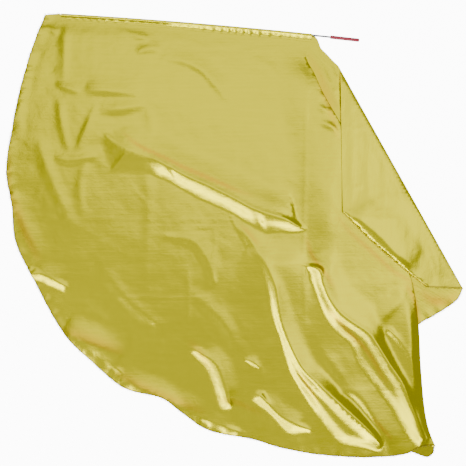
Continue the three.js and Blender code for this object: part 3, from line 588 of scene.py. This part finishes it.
mesh = {
    "step": 9.0, "bandStep": 7.5, "bandShares": (0, 0.15, 0.32, 0.42, 0.5, 0.58, 0.68, 0.85, 1), "least": 1.6,
    "pastFoot": -5, "pastCrest": (5, 11), "rowStep": 8.0, "gatherStep": 4.0, "rolls": 8, "outline": 6.5,
    "gathers": (72, 230), "creaseEnd": 1580, "foldMargins": (20, 40), "apexGap": 32, "hemSpots": 8000,
    "hemTurn": 3, "halvings": 36, "left": -870, "right": 1200, "low": -830, "high": 800, "rowRatio": 0.866,
    "outlineGap": 2.2, "latticeGap": 0.62, "merge": 1e-4, "thickness": 0.3, "casingStep": 4.0,
    "corner": (27, 4), "cornerFar": (6, 5.6), "cornerStep": 6, "lowest": 0.02, "sharpAngle": 60,
    "fineStep": 2.0, "leastWidth": 3,
}
casing = {
    "radius": 4.6, "arcSteps": 10, "seamLeft": 9.5, "seamRight": 14, "opens": (-245, -215), "seamHeight": 1.4,
    "flatShares": (0.2, 0.4, 0.6, 0.8, 1.0), "flatPower": 1.5, "turnUnder": ((1.5, 0.8), (4, 0.4), (9, 0.0)),
    "turnSlope": 0.02, "seamSway": (1.2, 37, 101), "puckerPitch": 30.0, "puckerOut": 2.2, "puckerUp": 1.0,
    "puckerSway": (9, 41), "puckerFade": (0.6, 0.4, 83), "puckerLeft": 0.5, "outBias": 0.3, "upBias": 0.6,
}


def unpleat(x, y):  # the flat place of a point of the lowest layer
    reach, angle = aboutApex(x, y)
    low = np.full(reach.shape, lay["edgeAngle"])
    high = creaseAngle(reach) - lay["pleatAngle"]
    for _ in range(mesh["halvings"]):
        middle = (low + high) / 2
        above = pleat(reach, middle)[0] > angle
        high = np.where(above, middle, high)
        low = np.where(above, low, middle)
    return np.stack(fromApex(reach, (low + high) / 2), 1)


def flapFlat(x, y):  # the flat place of a point of the flap
    fold, across = sideFold.read(x, y)
    past = math.pi * lay["foldRoll"] + (-lay["foldRoll"] - across) / lay["flapStretch"]
    return unpleat(*sideFold.place(fold, past - lay["foldRoll"]))


def creaseRowPoints():
    rows = []
    rolls = np.linspace(0, 1, mesh["rolls"] + 1)
    gathered = np.arange(*mesh["gathers"], mesh["gatherStep"])
    reach = np.concatenate([gathered, np.arange(mesh["gathers"][1], mesh["creaseEnd"], mesh["rowStep"])])
    roll = math.pi * lay["pitch"] / 2 * smooth(reach, *lay["liftOpens"])
    for share in rolls:
        for start in (0, lay["pleatAngle"]):
            angle = creaseAngle(reach) - start - (0 if start == 0 else 1) * roll / reach / degree
            rows.append(np.stack(fromApex(reach, angle - share * roll / reach / degree), 1))
    for band in list(bands.values()) + flapBands:
        crest, foot = (curve(band[line], mesh["fineStep"]) for line in ("crest", "foot"))
        count = int(mesh["fineStep"] * len(crest) / mesh["bandStep"])
        crest, foot = (line[np.linspace(0, len(line) - 1, count).round().astype(int)]
                       for line in (crest, foot))
        across = crest - foot
        across = across / np.maximum(mesh["leastWidth"], np.hypot(*across.T))[:, None]
        spread = [mix(foot, crest, share) for share in mesh["bandShares"]]
        spread.append(foot + mesh["pastFoot"] * across)
        spread += [crest + gap * across for gap in mesh["pastCrest"]]
        spots = np.vstack(spread)
        rows.append(flapFlat(*spots.T) if band in flapBands else spots)
    before, after = mesh["foldMargins"]
    along = np.arange(-before, sideFold.length + after, mesh["rowStep"])
    for share in rolls:
        past = math.pi * lay["foldRoll"] * share
        rows.append(unpleat(*sideFold.place(along, past - lay["foldRoll"])))
    along = np.arange(0, cornerTuck.length, mesh["rowStep"])
    bulge = bulgeAt(along)
    edge = tuckShare(*cornerTuck.place(along, bulge))
    for share in rolls:
        rows.append(flapFlat(*cornerTuck.place(along, bulge + math.pi * lay["tuckRoll"] * edge * share)))
    return np.vstack(rows)


def flatOutline():
    count = int((hemRows[0][1] - mesh["apexGap"]) / mesh["outline"])
    edgeReach = np.linspace(mesh["apexGap"], hemRows[0][1], count)
    straight = np.stack(fromApex(edgeReach, np.full(edgeReach.shape, lay["edgeAngle"])), 1)
    angle = np.linspace(lay["edgeAngle"], hemRows[-1][0], mesh["hemSpots"])
    hem = np.stack(fromApex(hemReach(angle), angle), 1)
    laid = np.stack(layFlat(hem[:, 0], hem[:, 1])[:3], 1)
    turn = np.zeros(len(hem))
    heading = np.diff(laid, axis=0)
    heading /= np.maximum(1e-9, np.linalg.norm(heading, axis=1))[:, None]
    turn[1:-1] = np.linalg.norm(np.diff(heading, axis=0), axis=1)
    spans = np.hypot(*np.diff(hem, axis=0).T) / mesh["outline"] + turn[1:] * mesh["hemTurn"]
    walk = np.concatenate([[0], np.cumsum(spans)])
    pick = np.interp(np.arange(1, walk[-1]), walk, np.arange(len(hem)))
    hem = hem[np.unique(np.round(pick).astype(int))]
    corner = np.stack(fromApex(hemReach(hemRows[-1][0]), hemRows[-1][0]))
    steps = int((lay["casingTo"] - lay["casingFrom"]) / mesh["casingStep"])
    x = np.linspace(lay["casingFrom"], lay["casingTo"], steps + 1)[:-1]
    rodEdge = np.stack([x, rodLine(x)], 1)
    turned = corner + mesh["corner"]
    pastRod, above = mesh["cornerFar"]
    end = np.array([lay["casingFrom"] - pastRod, rodLine(lay["casingFrom"]) + above])
    sides = curve([corner, turned], mesh["cornerStep"])[:-1], curve([turned, end], mesh["cornerStep"])
    outline = np.vstack([straight, hem, *sides, rodEdge])
    return outline, len(outline) - steps


def thinOut(points, fixed, gap):  # points that keep clear of the fixed ones
    tree = KDTree(len(fixed))
    for i, spot in enumerate(fixed):
        tree.insert((spot[0], spot[1], 0), i)
    tree.balance()
    return points[[tree.find((spot[0], spot[1], 0))[2] > gap for spot in points]]


def insideOf(outline, points):
    hit = np.zeros(len(points), bool)
    for a, b in zip(outline, np.roll(outline, 1, axis=0)):
        if a[1] == b[1]:
            continue
        crosses = (a[1] > points[:, 1]) != (b[1] > points[:, 1])
        hit ^= crosses & (points[:, 0] < (b[0] - a[0]) * (points[:, 1] - a[1]) / (b[1] - a[1]) + a[0])
    return hit


def clothSurface():
    outline, casingStart = flatOutline()
    rows = creaseRowPoints()
    rows = rows[insideOf(outline, rows)]
    rows = thinOut(rows, outline, mesh["outlineGap"])
    _, first = np.unique(np.round(rows / mesh["least"]), axis=0, return_index=True)
    rows = rows[np.sort(first)]
    step = mesh["step"]
    gx, gy = np.meshgrid(np.arange(mesh["left"], mesh["right"], step),
                         np.arange(mesh["low"], mesh["high"], step * mesh["rowRatio"]))
    gx = gx + (np.arange(gx.shape[0]) % 2)[:, None] * step / 2
    lattice = np.stack([gx.ravel(), gy.ravel()], 1)
    lattice = lattice[insideOf(outline, lattice)]
    lattice = thinOut(lattice, np.vstack([outline, rows]), mesh["latticeGap"] * step)
    flat = np.vstack([outline, rows, lattice])
    edges = [(i, (i + 1) % len(outline)) for i in range(len(outline))]
    found = delaunay_2d_cdt([Vector(spot) for spot in flat], edges, [], 1, mesh["merge"])
    places = np.array([tuple(spot) for spot in found[0]])
    triangles = np.array([face for face in found[2] if len(face) == 3])
    report(f"flat cut: {len(places)} points, {len(triangles)} triangles, {len(flat) - len(places)} merged")
    a, b, c = (places[triangles[:, k]] for k in range(3))
    area = ((b[:, 0] - a[:, 0]) * (c[:, 1] - a[:, 1]) - (b[:, 1] - a[:, 1]) * (c[:, 0] - a[:, 0])) / 2
    triangles = np.where((area < 0)[:, None], triangles[:, ::-1], triangles)
    laid, reflectionPaint, edge = drape(places[:, 0], places[:, 1])
    flatArea = float(np.abs(area).sum()) / 1e6
    return outline, casingStart, places, triangles, laid, reflectionPaint, edge, flatArea


outline, casingStart, places, triangles, laid, paintedReflection, edgeGap, flatArea = clothSurface()
report(f"laid cloth: {len(laid)} points, flat area {flatArea:.3f} m2, height {laid[:, 2].max():.1f} mm")


def casingSections(x):  # out from the rod, up, share of the pucker: one row of points after another
    radius = casing["radius"]
    drop = radius + lay["rodFloor"] - casing["seamHeight"]
    seamOut = mix(casing["seamLeft"], casing["seamRight"], smooth(x, *casing["opens"]))
    sway, fast, slow = casing["seamSway"]
    seamOut = seamOut + sway * np.sin(x / fast) * np.sin(x / slow)
    lean = np.arctan2(drop, seamOut) + np.arcsin(radius / np.hypot(drop, seamOut))
    sections = []
    for i in range(1, casing["arcSteps"] + 1):
        turn = -math.pi / 2 + (math.pi + lean) * i / casing["arcSteps"]
        sections.append((radius * np.cos(turn), lay["rodFloor"] + radius * (1 + np.sin(turn)), 0.0))
    topOut, topUp, _ = sections[-1]
    for share in casing["flatShares"]:
        up = mix(topUp, casing["seamHeight"], share)
        sections.append((mix(topOut, -seamOut, share), up, share ** casing["flatPower"]))
    for past, share in casing["turnUnder"]:
        up = np.full(len(x), casing["seamHeight"] - casing["turnSlope"] * past)
        sections.append((-seamOut - past, up, share))
    return sections


def growCasing():  # rows from the sheet's edge round the rod and down to the stitched seam
    rim = list(range(casingStart, len(outline))) + [0]
    base, flat = laid[rim], places[rim]
    x = base[:, 0]
    slope = (rodLine(x + 1) - rodLine(x - 1)) / 2
    size = np.hypot(1, slope)
    sway, slow = casing["puckerSway"]
    wave = np.sin(2 * math.pi * (x + sway * np.sin(x / slow)) / casing["puckerPitch"])
    least, more, slow = casing["puckerFade"]
    wave = wave * (least + more * np.sin(x / slow + 1))
    wave = wave * mix(casing["puckerLeft"], 1, smooth(x, *casing["opens"]))
    below = np.array(rim)
    faces, points, cut = [], [], []
    count = len(laid)
    walked = 0.0
    previous = np.zeros(len(x)), np.full(len(x), lay["rodFloor"])
    for out, up, share in casingSections(x):
        walked = walked + np.hypot(out - previous[0], up - previous[1]).mean()
        previous = out, up
        away = out - casing["puckerOut"] * share * (wave + casing["outBias"])
        rise = up + casing["puckerUp"] * share * (wave + casing["upBias"])
        points.append(np.stack([x - away * slope / size, base[:, 1] + away / size, rise], 1))
        cut.append(flat + np.array([0, walked]))
        row = count + np.arange(len(rim))
        count += len(rim)
        faces.append(np.stack([below[:-1], below[1:], row[1:]], 1))
        faces.append(np.stack([below[:-1], row[1:], row[:-1]], 1))
        below = row
    grown = count - len(laid)
    seam = below - 3 * len(rim)
    gaps = np.concatenate([edgeGap, np.full(grown, hemLook["farthest"] / 2)])
    return (np.vstack([laid] + points), np.vstack([places] + cut), np.vstack([triangles] + faces),
            gaps, np.concatenate([paintedReflection, np.zeros(grown)]), seam)


laid, places, triangles, edgeGap, paintedReflection, seamRow = growCasing()


def vertexNormals(points, faces):
    a, b, c = (points[faces[:, k]] for k in range(3))
    normal = np.cross(b - a, c - a)
    total = np.zeros(points.shape)
    for k in range(3):
        np.add.at(total, faces[:, k], normal)
    return total / np.maximum(1e-12, np.linalg.norm(total, axis=1))[:, None]


def linked(name, data):  # a new object in the scene
    piece = bpy.data.objects.new(name, data)
    bpy.context.scene.collection.objects.link(piece)
    return piece


def meshObject(name, points, faces, material):
    data = bpy.data.meshes.new(name)
    data.from_pydata((points + baseShift) / 1000, [], [tuple(face) for face in faces])
    data.polygons.foreach_set("use_smooth", [True] * len(data.polygons))
    data.materials.append(material)
    return linked(name, data)


def sheetObject(name, points, faces, flat, values, thickness, material):
    normals = vertexNormals(points, faces)
    skins = [points + normals * thickness / 2, points - normals * thickness / 2]
    for skin in skins:
        skin[:, 2] = np.maximum(mesh["lowest"], skin[:, 2])
    count = len(points)
    sides = np.concatenate([faces[:, [0, 1]], faces[:, [1, 2]], faces[:, [2, 0]]])
    keys = sides[:, 0].astype(np.int64) * count + sides[:, 1]
    free = sides[~np.isin(sides[:, 1].astype(np.int64) * count + sides[:, 0], keys)]
    under = faces[:, ::-1] + count
    rim = np.concatenate([np.stack([free[:, 1], free[:, 0], free[:, 0] + count], 1),
                          np.stack([free[:, 1], free[:, 0] + count, free[:, 1] + count], 1)])
    allFaces = np.concatenate([faces, under, rim])
    piece = meshObject(name, np.vstack(skins), allFaces, material)
    data = piece.data
    corner = np.zeros(len(data.loops), int)
    data.loops.foreach_get("vertex_index", corner)
    layerUv = data.uv_layers.new(name="flat")
    layerUv.data.foreach_set("uv", (flat[corner % count] / 1000).ravel())
    for label, value in values.items():
        attribute = data.attributes.new(label, "FLOAT", "POINT")
        attribute.data.foreach_set("value", np.tile(value, 2).astype(np.float32))
    data.set_sharp_from_angle(angle=mesh["sharpAngle"] * degree)
    return piece, normals


# Materials


class Nodes:  # short names for building a node tree
    def __init__(self, tree):
        self.tree = tree

    def add(self, kind, values=None, **settings):
        node = self.tree.nodes.new(kind)
        for key, value in settings.items():
            setattr(node, key, value)
        for key, value in (values or {}).items():
            if isinstance(value, bpy.types.NodeSocket):
                self.tree.links.new(value, node.inputs[key])
            else:
                node.inputs[key].default_value = value
        return node

    def link(self, output, target):
        self.tree.links.new(output, target)

    def math(self, operation, a, b=0.0):
        return self.add("ShaderNodeMath", {0: a, 1: b}, operation=operation).outputs[0]

    def vector(self, **axes):
        return self.add("ShaderNodeCombineXYZ", axes).outputs[0]

    def mixed(self, share, first, second):
        node = self.add("ShaderNodeMix", {0: share, 6: first, 7: second}, data_type="RGBA")
        return node.outputs[2]

    def noise(self, place, **values):
        return self.add("ShaderNodeTexNoise", {"Vector": place, **values}).outputs[0]

    def surface(self, values):
        shader = self.add("ShaderNodeBsdfPrincipled", values)
        out = self.add("ShaderNodeOutputMaterial")
        self.link(shader.outputs[0], out.inputs["Surface"])


def shaderGroup(name, inputs, outputs):
    group = bpy.data.node_groups.new(name, "ShaderNodeTree")
    for label, kind, value in inputs:
        socket = group.interface.new_socket(name=label, in_out="INPUT", socket_type=kind)
        if value is not None:
            socket.default_value = value
    for label, kind in outputs:
        group.interface.new_socket(name=label, in_out="OUTPUT", socket_type=kind)
    nodes = Nodes(group)
    return group, nodes, nodes.add("NodeGroupInput").outputs, nodes.add("NodeGroupOutput").inputs


weaveLook = {"weft": (14, 700, 1), "weftDetail": 3.0, "weftRough": 0.6, "weftShare": 0.3,
             "broad": (6, 120, 1), "broadDetail": 2.0, "broadRough": 0.5, "broadShare": 0.7,
             "crumpleScale": 34.0, "crumpleDetail": 5.0, "crumpleRough": 0.55, "crumpleWarp": 0.6}


def makeLameWeave():  # weft streaks and fine crumple of metallised yarn
    group, nodes, given, made = shaderGroup(
        "lameWeave",
        [("Flat", "NodeSocketVector", None), ("Streak", "NodeSocketFloat", 0.5),
         ("Crumple", "NodeSocketFloat", 0.5)],
        [("Height", "NodeSocketFloat"), ("Streaks", "NodeSocketFloat")])
    parts = []
    for name in ("weft", "broad"):
        place = nodes.add("ShaderNodeMapping", {"Vector": given["Flat"], "Scale": weaveLook[name]}).outputs[0]
        streak = nodes.noise(place, Scale=1.0, Detail=weaveLook[name + "Detail"],
                             Roughness=weaveLook[name + "Rough"])
        parts.append(nodes.math("MULTIPLY", streak, weaveLook[name + "Share"]))
    streaks = nodes.math("ADD", *parts)
    crumple = nodes.noise(given["Flat"], Scale=weaveLook["crumpleScale"], Detail=weaveLook["crumpleDetail"],
                          Roughness=weaveLook["crumpleRough"], Distortion=weaveLook["crumpleWarp"])
    height = nodes.math("ADD", nodes.math("MULTIPLY", streaks, given["Streak"]),
                        nodes.math("MULTIPLY", crumple, given["Crumple"]))
    nodes.link(height, made["Height"])
    nodes.link(streaks, made["Streaks"])
    return group


def material(name, color):
    made = bpy.data.materials.new(name)
    made.use_nodes = True
    made.node_tree.nodes.clear()
    made.diffuse_color = (*color, 1)
    return made, Nodes(made.node_tree)


# the amber colour below is a painted reflection, mixed in where the sheet mirrors itself
lameLook = {
    "gold": (0.99, 0.87, 0.001, 1), "olive": (0.84, 0.75, 0.001, 1), "reflectedAmber": (0.92, 0.6, 0.001, 1),
    "metal": 1.0, "rough": 0.23, "grain": 0.45, "grainTurn": 0.25, "thread": (0.36, 0.28, 0.02, 1),
    "hemBand": (3.0, 5.5), "hemShade": 0.8, "bump": 0.6, "bumpDistance": 0.0012, "streak": 0.5,
    "crumple": 0.9,
}


def makeLame():
    made, nodes = material("goldLame", lameLook["gold"][:3])
    flat = nodes.add("ShaderNodeUVMap", uv_map="flat").outputs[0]
    weave = nodes.add("ShaderNodeGroup", node_tree=makeLameWeave())
    nodes.link(flat, weave.inputs["Flat"])
    weave.inputs["Streak"].default_value = lameLook["streak"]
    weave.inputs["Crumple"].default_value = lameLook["crumple"]
    bump = nodes.add("ShaderNodeBump", {"Height": weave.outputs["Height"], "Strength": lameLook["bump"],
                                        "Distance": lameLook["bumpDistance"]})
    color = nodes.mixed(weave.outputs["Streaks"], lameLook["olive"], lameLook["gold"])
    # painted reflection: amber mixed into the base colour where the sheet mirrors itself
    paintedReflection = nodes.add("ShaderNodeAttribute", attribute_name="paintedReflection").outputs["Fac"]
    hemGap = nodes.add("ShaderNodeAttribute", attribute_name="hemGap").outputs["Fac"]
    near, far = lameLook["hemBand"]
    hem = nodes.add("ShaderNodeMapRange",
                    {0: hemGap, 1: near, 2: far, 3: lameLook["hemShade"], 4: 0.0}).outputs[0]
    color = nodes.mixed(hem, nodes.mixed(paintedReflection, color, lameLook["reflectedAmber"]), lameLook["thread"])
    tangent = nodes.add("ShaderNodeTangent", direction_type="UV_MAP", uv_map="flat").outputs[0]
    nodes.surface({
        "Base Color": color, "Metallic": lameLook["metal"], "Roughness": lameLook["rough"],
        "Anisotropic": lameLook["grain"], "Anisotropic Rotation": lameLook["grainTurn"],
        "Normal": bump.outputs[0], "Tangent": tangent})
    return made


def makePlain(name, color, rough, coat=0.0):
    made, nodes = material(name, color)
    nodes.surface({"Base Color": (*color, 1), "Roughness": rough, "Coat Weight": coat})
    return made


lameMaterial = makeLame()
flagCloth, clothNormals = sheetObject("flagCloth", laid, triangles, places,
                                      {"hemGap": edgeGap, "paintedReflection": paintedReflection}, mesh["thickness"], lameMaterial)
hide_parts("flag_cloth")
report(f"cloth: {len(flagCloth.data.polygons)} triangles")


# Rod and grip

rodLook = {"radius": 3.175, "end": 429, "sides": 28, "steps": 90, "chamfer": 0.5,
           "color": (0.2, 0.205, 0.215), "rough": 0.4}
gripLook = {"radius": 6.3, "length": 103, "sides": 48, "near": 334,
            "color": (0.56, 0.035, 0.07), "rough": 0.34, "coat": 0.2}


def rodPoint(x):
    rise = smooth(np.asarray(x, float), lay["casingTo"], gripLook["near"])
    height = mix(lay["rodFloor"] + casing["radius"], gripLook["radius"], rise)
    return np.stack([np.asarray(x, float), rodLine(np.asarray(x, float)), height], -1)


def turned(name, centres, axis, radii, sides, material):  # rings round an axis, closed at both ends
    axis = axis / np.linalg.norm(axis)
    out = np.cross(axis, [0, 0, 1])
    out /= np.linalg.norm(out)
    up = np.cross(out, axis)
    turn = 2 * math.pi * np.arange(sides) / sides
    ring = np.cos(turn)[:, None] * out + np.sin(turn)[:, None] * up
    points = np.vstack([centre + radius * ring for centre, radius in zip(centres, radii)])
    points = np.vstack([points, centres[:1], centres[-1:]])
    faces = []
    for i in range(len(centres) - 1):
        for j in range(sides):
            k = (j + 1) % sides
            a, b, c, d = i * sides + j, i * sides + k, (i + 1) * sides + k, (i + 1) * sides + j
            faces += [(a, c, b), (a, d, c)]
    first, last = len(points) - 2, len(points) - 1
    start = (len(centres) - 1) * sides
    for j in range(sides):
        k = (j + 1) % sides
        faces += [(first, j, k), (last, start + k, start + j)]
    return meshObject(name, points, np.array(faces), material)


rodMaterial = makePlain("greyFibreglass", rodLook["color"], rodLook["rough"])
rodX = np.linspace(lay["rodFar"][0], rodLook["end"], rodLook["steps"])
rodCentres = rodPoint(rodX)
rodRadii = np.full(len(rodX), rodLook["radius"])
rodRadii[[0, -1]] -= rodLook["chamfer"]
rod = turned("fibreRod", rodCentres, rodCentres[-1] - rodCentres[0], rodRadii, rodLook["sides"], rodMaterial)
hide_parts("rod")

gripMaterial = makePlain("redVinyl", gripLook["color"], gripLook["rough"], gripLook["coat"])
gripEnd = rodPoint(lay["rodNear"][0])
gripAxis = gripEnd - rodPoint(lay["rodNear"][0] - gripLook["length"])
gripAxis = gripAxis / np.linalg.norm(gripAxis)
gripProfile = [  # along from the near end, radius
    (0, 3.5), (0, 5.3), (0.5, 5.9), (1.4, 6.2), (3, 6.3), (20, 6.25), (50, 6.2), (80, 6.25), (97, 6.3),
    (99.5, 6.1), (101.3, 5.5), (102.5, 4.4), (103, 2.8), (103, 1.0),
]
gripCentres = np.array([gripEnd + gripAxis * (along - gripLook["length"]) for along, _ in gripProfile])
gripRadii = [radius for _, radius in gripProfile]
grip = turned("handGrip", gripCentres, gripAxis, gripRadii, gripLook["sides"], gripMaterial)
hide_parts("grip")
report("rod and grip")


# Stitches, by Geometry Nodes along a path on the cloth

stitchLook = {  # sizes in metres, but seamRise in millimetres
    "overlock": {"Pitch": 0.0032, "Width": 0.0044, "Height": 0.0011, "Thread": 0.00022,
                 "Slant": 0.25, "Seed": 7},
    "fray": {"Pitch": 0.0028, "Width": 0.007, "Height": 0.002, "Thread": 0.0006, "Slant": 0.5, "Seed": 5},
    "running": {"Pitch": 0.0042, "Width": 0.003, "Height": 0.001, "Thread": 0.00028,
                "Slant": 0.05, "Seed": 3},
    "lean": (0.5, 1.5), "loopInward": 0.82, "loopSides": 8, "threadSides": 3, "leastStitch": 1.0,
    "leastFray": 0.25, "lowest": 2e-5, "threadColor": (0.62, 0.52, 0.12), "frayColor": (0.3, 0.25, 0.03),
    "threadRough": 0.6, "frayRough": 0.5, "seamRise": 0.35, "casingLength": 0.92, "casingWidth": 0.041,
}


def stitchGroup(name, kind):  # kind is "overlock", "fray" or "running"
    group = bpy.data.node_groups.new(name, "GeometryNodeTree")
    group.is_modifier = True
    sorts = {"Path": "Geometry", "Pitch": "Float", "Width": "Float", "Height": "Float", "Thread": "Float",
             "Slant": "Float", "Seed": "Int", "Material": "Material"}
    for label, sort in sorts.items():
        group.interface.new_socket(name=label, in_out="INPUT", socket_type="NodeSocket" + sort)
    group.interface.new_socket(name="Stitches", in_out="OUTPUT", socket_type="NodeSocketGeometry")
    nodes = Nodes(group)
    given = nodes.add("NodeGroupInput").outputs
    path = nodes.add("GeometryNodeMeshToCurve", {0: given["Path"]}).outputs[0]
    walk = nodes.add("GeometryNodeResampleCurve", {"Curve": path, "Length": given["Pitch"]},
                     mode="LENGTH").outputs[0]
    tangent = nodes.add("GeometryNodeInputTangent").outputs[0]
    normal = nodes.add("GeometryNodeInputNamedAttribute", {"Name": "clothNormal"},
                       data_type="FLOAT_VECTOR").outputs[0]
    facing = nodes.add("FunctionNodeAlignRotationToVector", {"Vector": tangent}, axis="Z").outputs[0]
    facing = nodes.add("FunctionNodeAlignRotationToVector", {"Rotation": facing, "Vector": normal},
                       axis="X", pivot_axis="Z").outputs[0]

    def draw(low, high):
        values = {2: low, 3: high, "Seed": given["Seed"]}
        return nodes.add("FunctionNodeRandomValue", values, data_type="FLOAT").outputs[1]

    angle = nodes.vector(X=nodes.math("MULTIPLY", draw(*stitchLook["lean"]), given["Slant"]))
    spin = nodes.add("FunctionNodeEulerToRotation", {0: angle}).outputs[0]
    facing = nodes.add("FunctionNodeRotateRotation", {"Rotation": facing, "Rotate By": spin},
                       rotation_space="LOCAL").outputs[0]
    half = nodes.math("MULTIPLY", given["Width"], 0.5)
    tall = nodes.math("MULTIPLY", given["Height"], 0.5)
    thread = nodes.add("GeometryNodeCurvePrimitiveCircle",
                       {"Resolution": stitchLook["threadSides"], "Radius": given["Thread"]}).outputs[0]
    if kind == "overlock":
        line = nodes.add("GeometryNodeCurvePrimitiveCircle",
                         {"Resolution": stitchLook["loopSides"], "Radius": 1.0}).outputs[0]
        size = nodes.vector(X=tall, Y=half, Z=1.0)
        inward = nodes.vector(Y=nodes.math("MULTIPLY", half, stitchLook["loopInward"]))
        line = nodes.add("GeometryNodeTransform",
                         {"Geometry": line, "Translation": inward, "Scale": size}).outputs[0]
    elif kind == "fray":
        end = nodes.vector(X=tall, Y=nodes.math("MULTIPLY", given["Width"], -1.0))
        line = nodes.add("GeometryNodeCurvePrimitiveLine", {"End": end}).outputs[0]
    else:
        ends = {"Start": nodes.vector(Z=nodes.math("MULTIPLY", half, -1.0)), "End": nodes.vector(Z=half)}
        line = nodes.add("GeometryNodeCurvePrimitiveLine", ends).outputs[0]
    swept = {"Curve": line, "Profile Curve": thread, "Fill Caps": True}
    stitch = nodes.add("GeometryNodeCurveToMesh", swept).outputs[0]
    size = draw(stitchLook["leastFray" if kind == "fray" else "leastStitch"], 1.0)
    sown = {"Points": walk, "Instance": stitch, "Rotation": facing, "Scale": size}
    placed = nodes.add("GeometryNodeInstanceOnPoints", sown).outputs[0]
    real = nodes.add("GeometryNodeRealizeInstances", {0: placed}).outputs[0]
    dressed = nodes.add("GeometryNodeSetMaterial", {"Geometry": real, "Material": given["Material"]})
    nodes.link(dressed.outputs[0], nodes.add("NodeGroupOutput").inputs["Stitches"])
    return group


def stitchedPath(name, points, normals, kind, threadMaterial):
    data = bpy.data.meshes.new(name + "Path")
    data.from_pydata((points + baseShift) / 1000, [(i, i + 1) for i in range(len(points) - 1)], [])
    attribute = data.attributes.new("clothNormal", "FLOAT_VECTOR", "POINT")
    attribute.data.foreach_set("vector", normals.astype(np.float32).ravel())
    path = linked(name + "Path", data)
    modifier = path.modifiers.new("stitches", "NODES")
    modifier.node_group = stitchGroup(kind + "Stitches", kind)
    values = {**stitchLook[kind], "Material": threadMaterial}
    for item in modifier.node_group.interface.items_tree:
        if item.in_out == "INPUT" and item.name in values:
            modifier[item.identifier] = values[item.name]
    grown = bpy.data.meshes.new_from_object(path.evaluated_get(bpy.context.evaluated_depsgraph_get()))
    piece = linked(name, grown)
    path.modifiers.clear()
    bpy.data.objects.remove(path)
    grown.name = name
    spots = np.zeros(len(grown.vertices) * 3)
    grown.vertices.foreach_get("co", spots)
    spots[2::3] = np.maximum(spots[2::3], stitchLook["lowest"])  # no thread below the floor
    grown.vertices.foreach_set("co", spots)
    return piece


threadMaterial = makePlain("goldThread", stitchLook["threadColor"], stitchLook["threadRough"])
frayMaterial = makePlain("frayedYarn", stitchLook["frayColor"], stitchLook["frayRough"])
hemStart = int(np.argmin(np.hypot(*(outline - np.stack(fromApex(hemRows[0][1], hemRows[0][0]))).T)))
hemLoop = np.arange(hemStart, casingStart)
hemStitches = stitchedPath("hemStitches", laid[hemLoop], clothNormals[hemLoop], "overlock", threadMaterial)
hemFray = stitchedPath("hemFray", laid[hemLoop], clothNormals[hemLoop], "fray", frayMaterial)
seamPath = laid[seamRow] + np.array([0, 0, stitchLook["seamRise"]])
upward = np.tile([0.0, 0.0, 1.0], (len(seamRow), 1))
seamStitches = stitchedPath("casingStitches", seamPath, upward, "running", threadMaterial)
report(f"stitches: {len(hemStitches.data.polygons)}, {len(hemFray.data.polygons)} and "
       f"{len(seamStitches.data.polygons)} faces")

for piece in (flagCloth, rod, grip, hemStitches, hemFray, seamStitches):
    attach(piece, "root")


# Floor, lights and camera

stageLook = {
    "panels": [  # shape, place, size, turn about the upright, brightness
        ("ELLIPSE", (0.0, -0.1, 4.25), (4.4, 4.3), 0, 0.2),
        ("RECTANGLE", (0.87, 0.93, 4.22), (5.9, 3.3), -25.5, 0.25),
        ("RECTANGLE", (0.99, 1.13, 4.2), (5.9, 2.9), -25.5, 0.55),
        ("RECTANGLE", (2.2, 0.55, 4.18), (2.0, 2.0), -25.5, 0.5),
    ],
    "strips": [  # place, size, brightness, all facing the middle of the cloth
        ((-1.7, -2.06, 3.15), (5.2, 1.2), 3.2),
        ((-1.92, -1.88, 3.2), (2.4, 0.4), 5.0),
        ((0.5, -3.7, 3.1), (2.4, 1.1), 5.0),
    ],
    "world": (0.28, 0.29, 0.3, 1), "floorGlow": 11.0, "floorLight": 1.2,
    "floorHalf": 6.0, "floorShade": 0.9, "floorRough": 0.9,
    "camera": (-0.0055, 0.0075, 3.0), "lens": 65.5, "sensor": 36,
}


def makeFloor():
    data = bpy.data.meshes.new("floor")
    half, shade = stageLook["floorHalf"], stageLook["floorShade"]
    corners = [(-half, -half, 0), (half, -half, 0), (half, half, 0), (-half, half, 0)]
    data.from_pydata(corners, [], [(0, 1, 2, 3)])
    floor = linked("floor", data)
    made, nodes = material("whiteFloor", (shade, shade, shade))
    seen = nodes.add("ShaderNodeLightPath").outputs["Is Camera Ray"]
    glow = nodes.add("ShaderNodeMix", {0: seen, 2: stageLook["floorLight"], 3: stageLook["floorGlow"]})
    nodes.surface({"Base Color": (shade, shade, shade, 1), "Roughness": stageLook["floorRough"],
                   "Emission Color": (1, 1, 1, 1), "Emission Strength": glow.outputs[0]})
    data.materials.append(made)


def addArea(name, shape, place, size, brightness):  # brightness is what a mirror would show of it
    data = bpy.data.lights.new(name, "AREA")
    data.shape = shape
    data.size, data.size_y = size
    share = math.pi / 4 if shape == "ELLIPSE" else 1
    data.energy = brightness * math.pi * size[0] * size[1] * share
    light = linked(name, data)
    light.location = place
    return light


makeFloor()
for shape, place, size, turn, brightness in stageLook["panels"]:
    panel = addArea("panel", shape, place, size, brightness)
    panel.rotation_euler = (0, 0, turn * degree)
for place, size, brightness in stageLook["strips"]:
    strip = addArea("strip", "RECTANGLE", place, size, brightness)
    strip.rotation_euler = (-Vector(place)).to_track_quat("-Z", "Y").to_euler()
world = bpy.data.worlds.new("studio")
world.use_nodes = True
world.node_tree.nodes["Background"].inputs["Color"].default_value = stageLook["world"]
bpy.context.scene.world = world

cameraData = bpy.data.cameras.new("camera")
cameraData.lens = stageLook["lens"]
cameraData.sensor_width = stageLook["sensor"]
camera = linked("camera", cameraData)
camera.location = stageLook["camera"]
bpy.context.scene.camera = camera
report("stage")
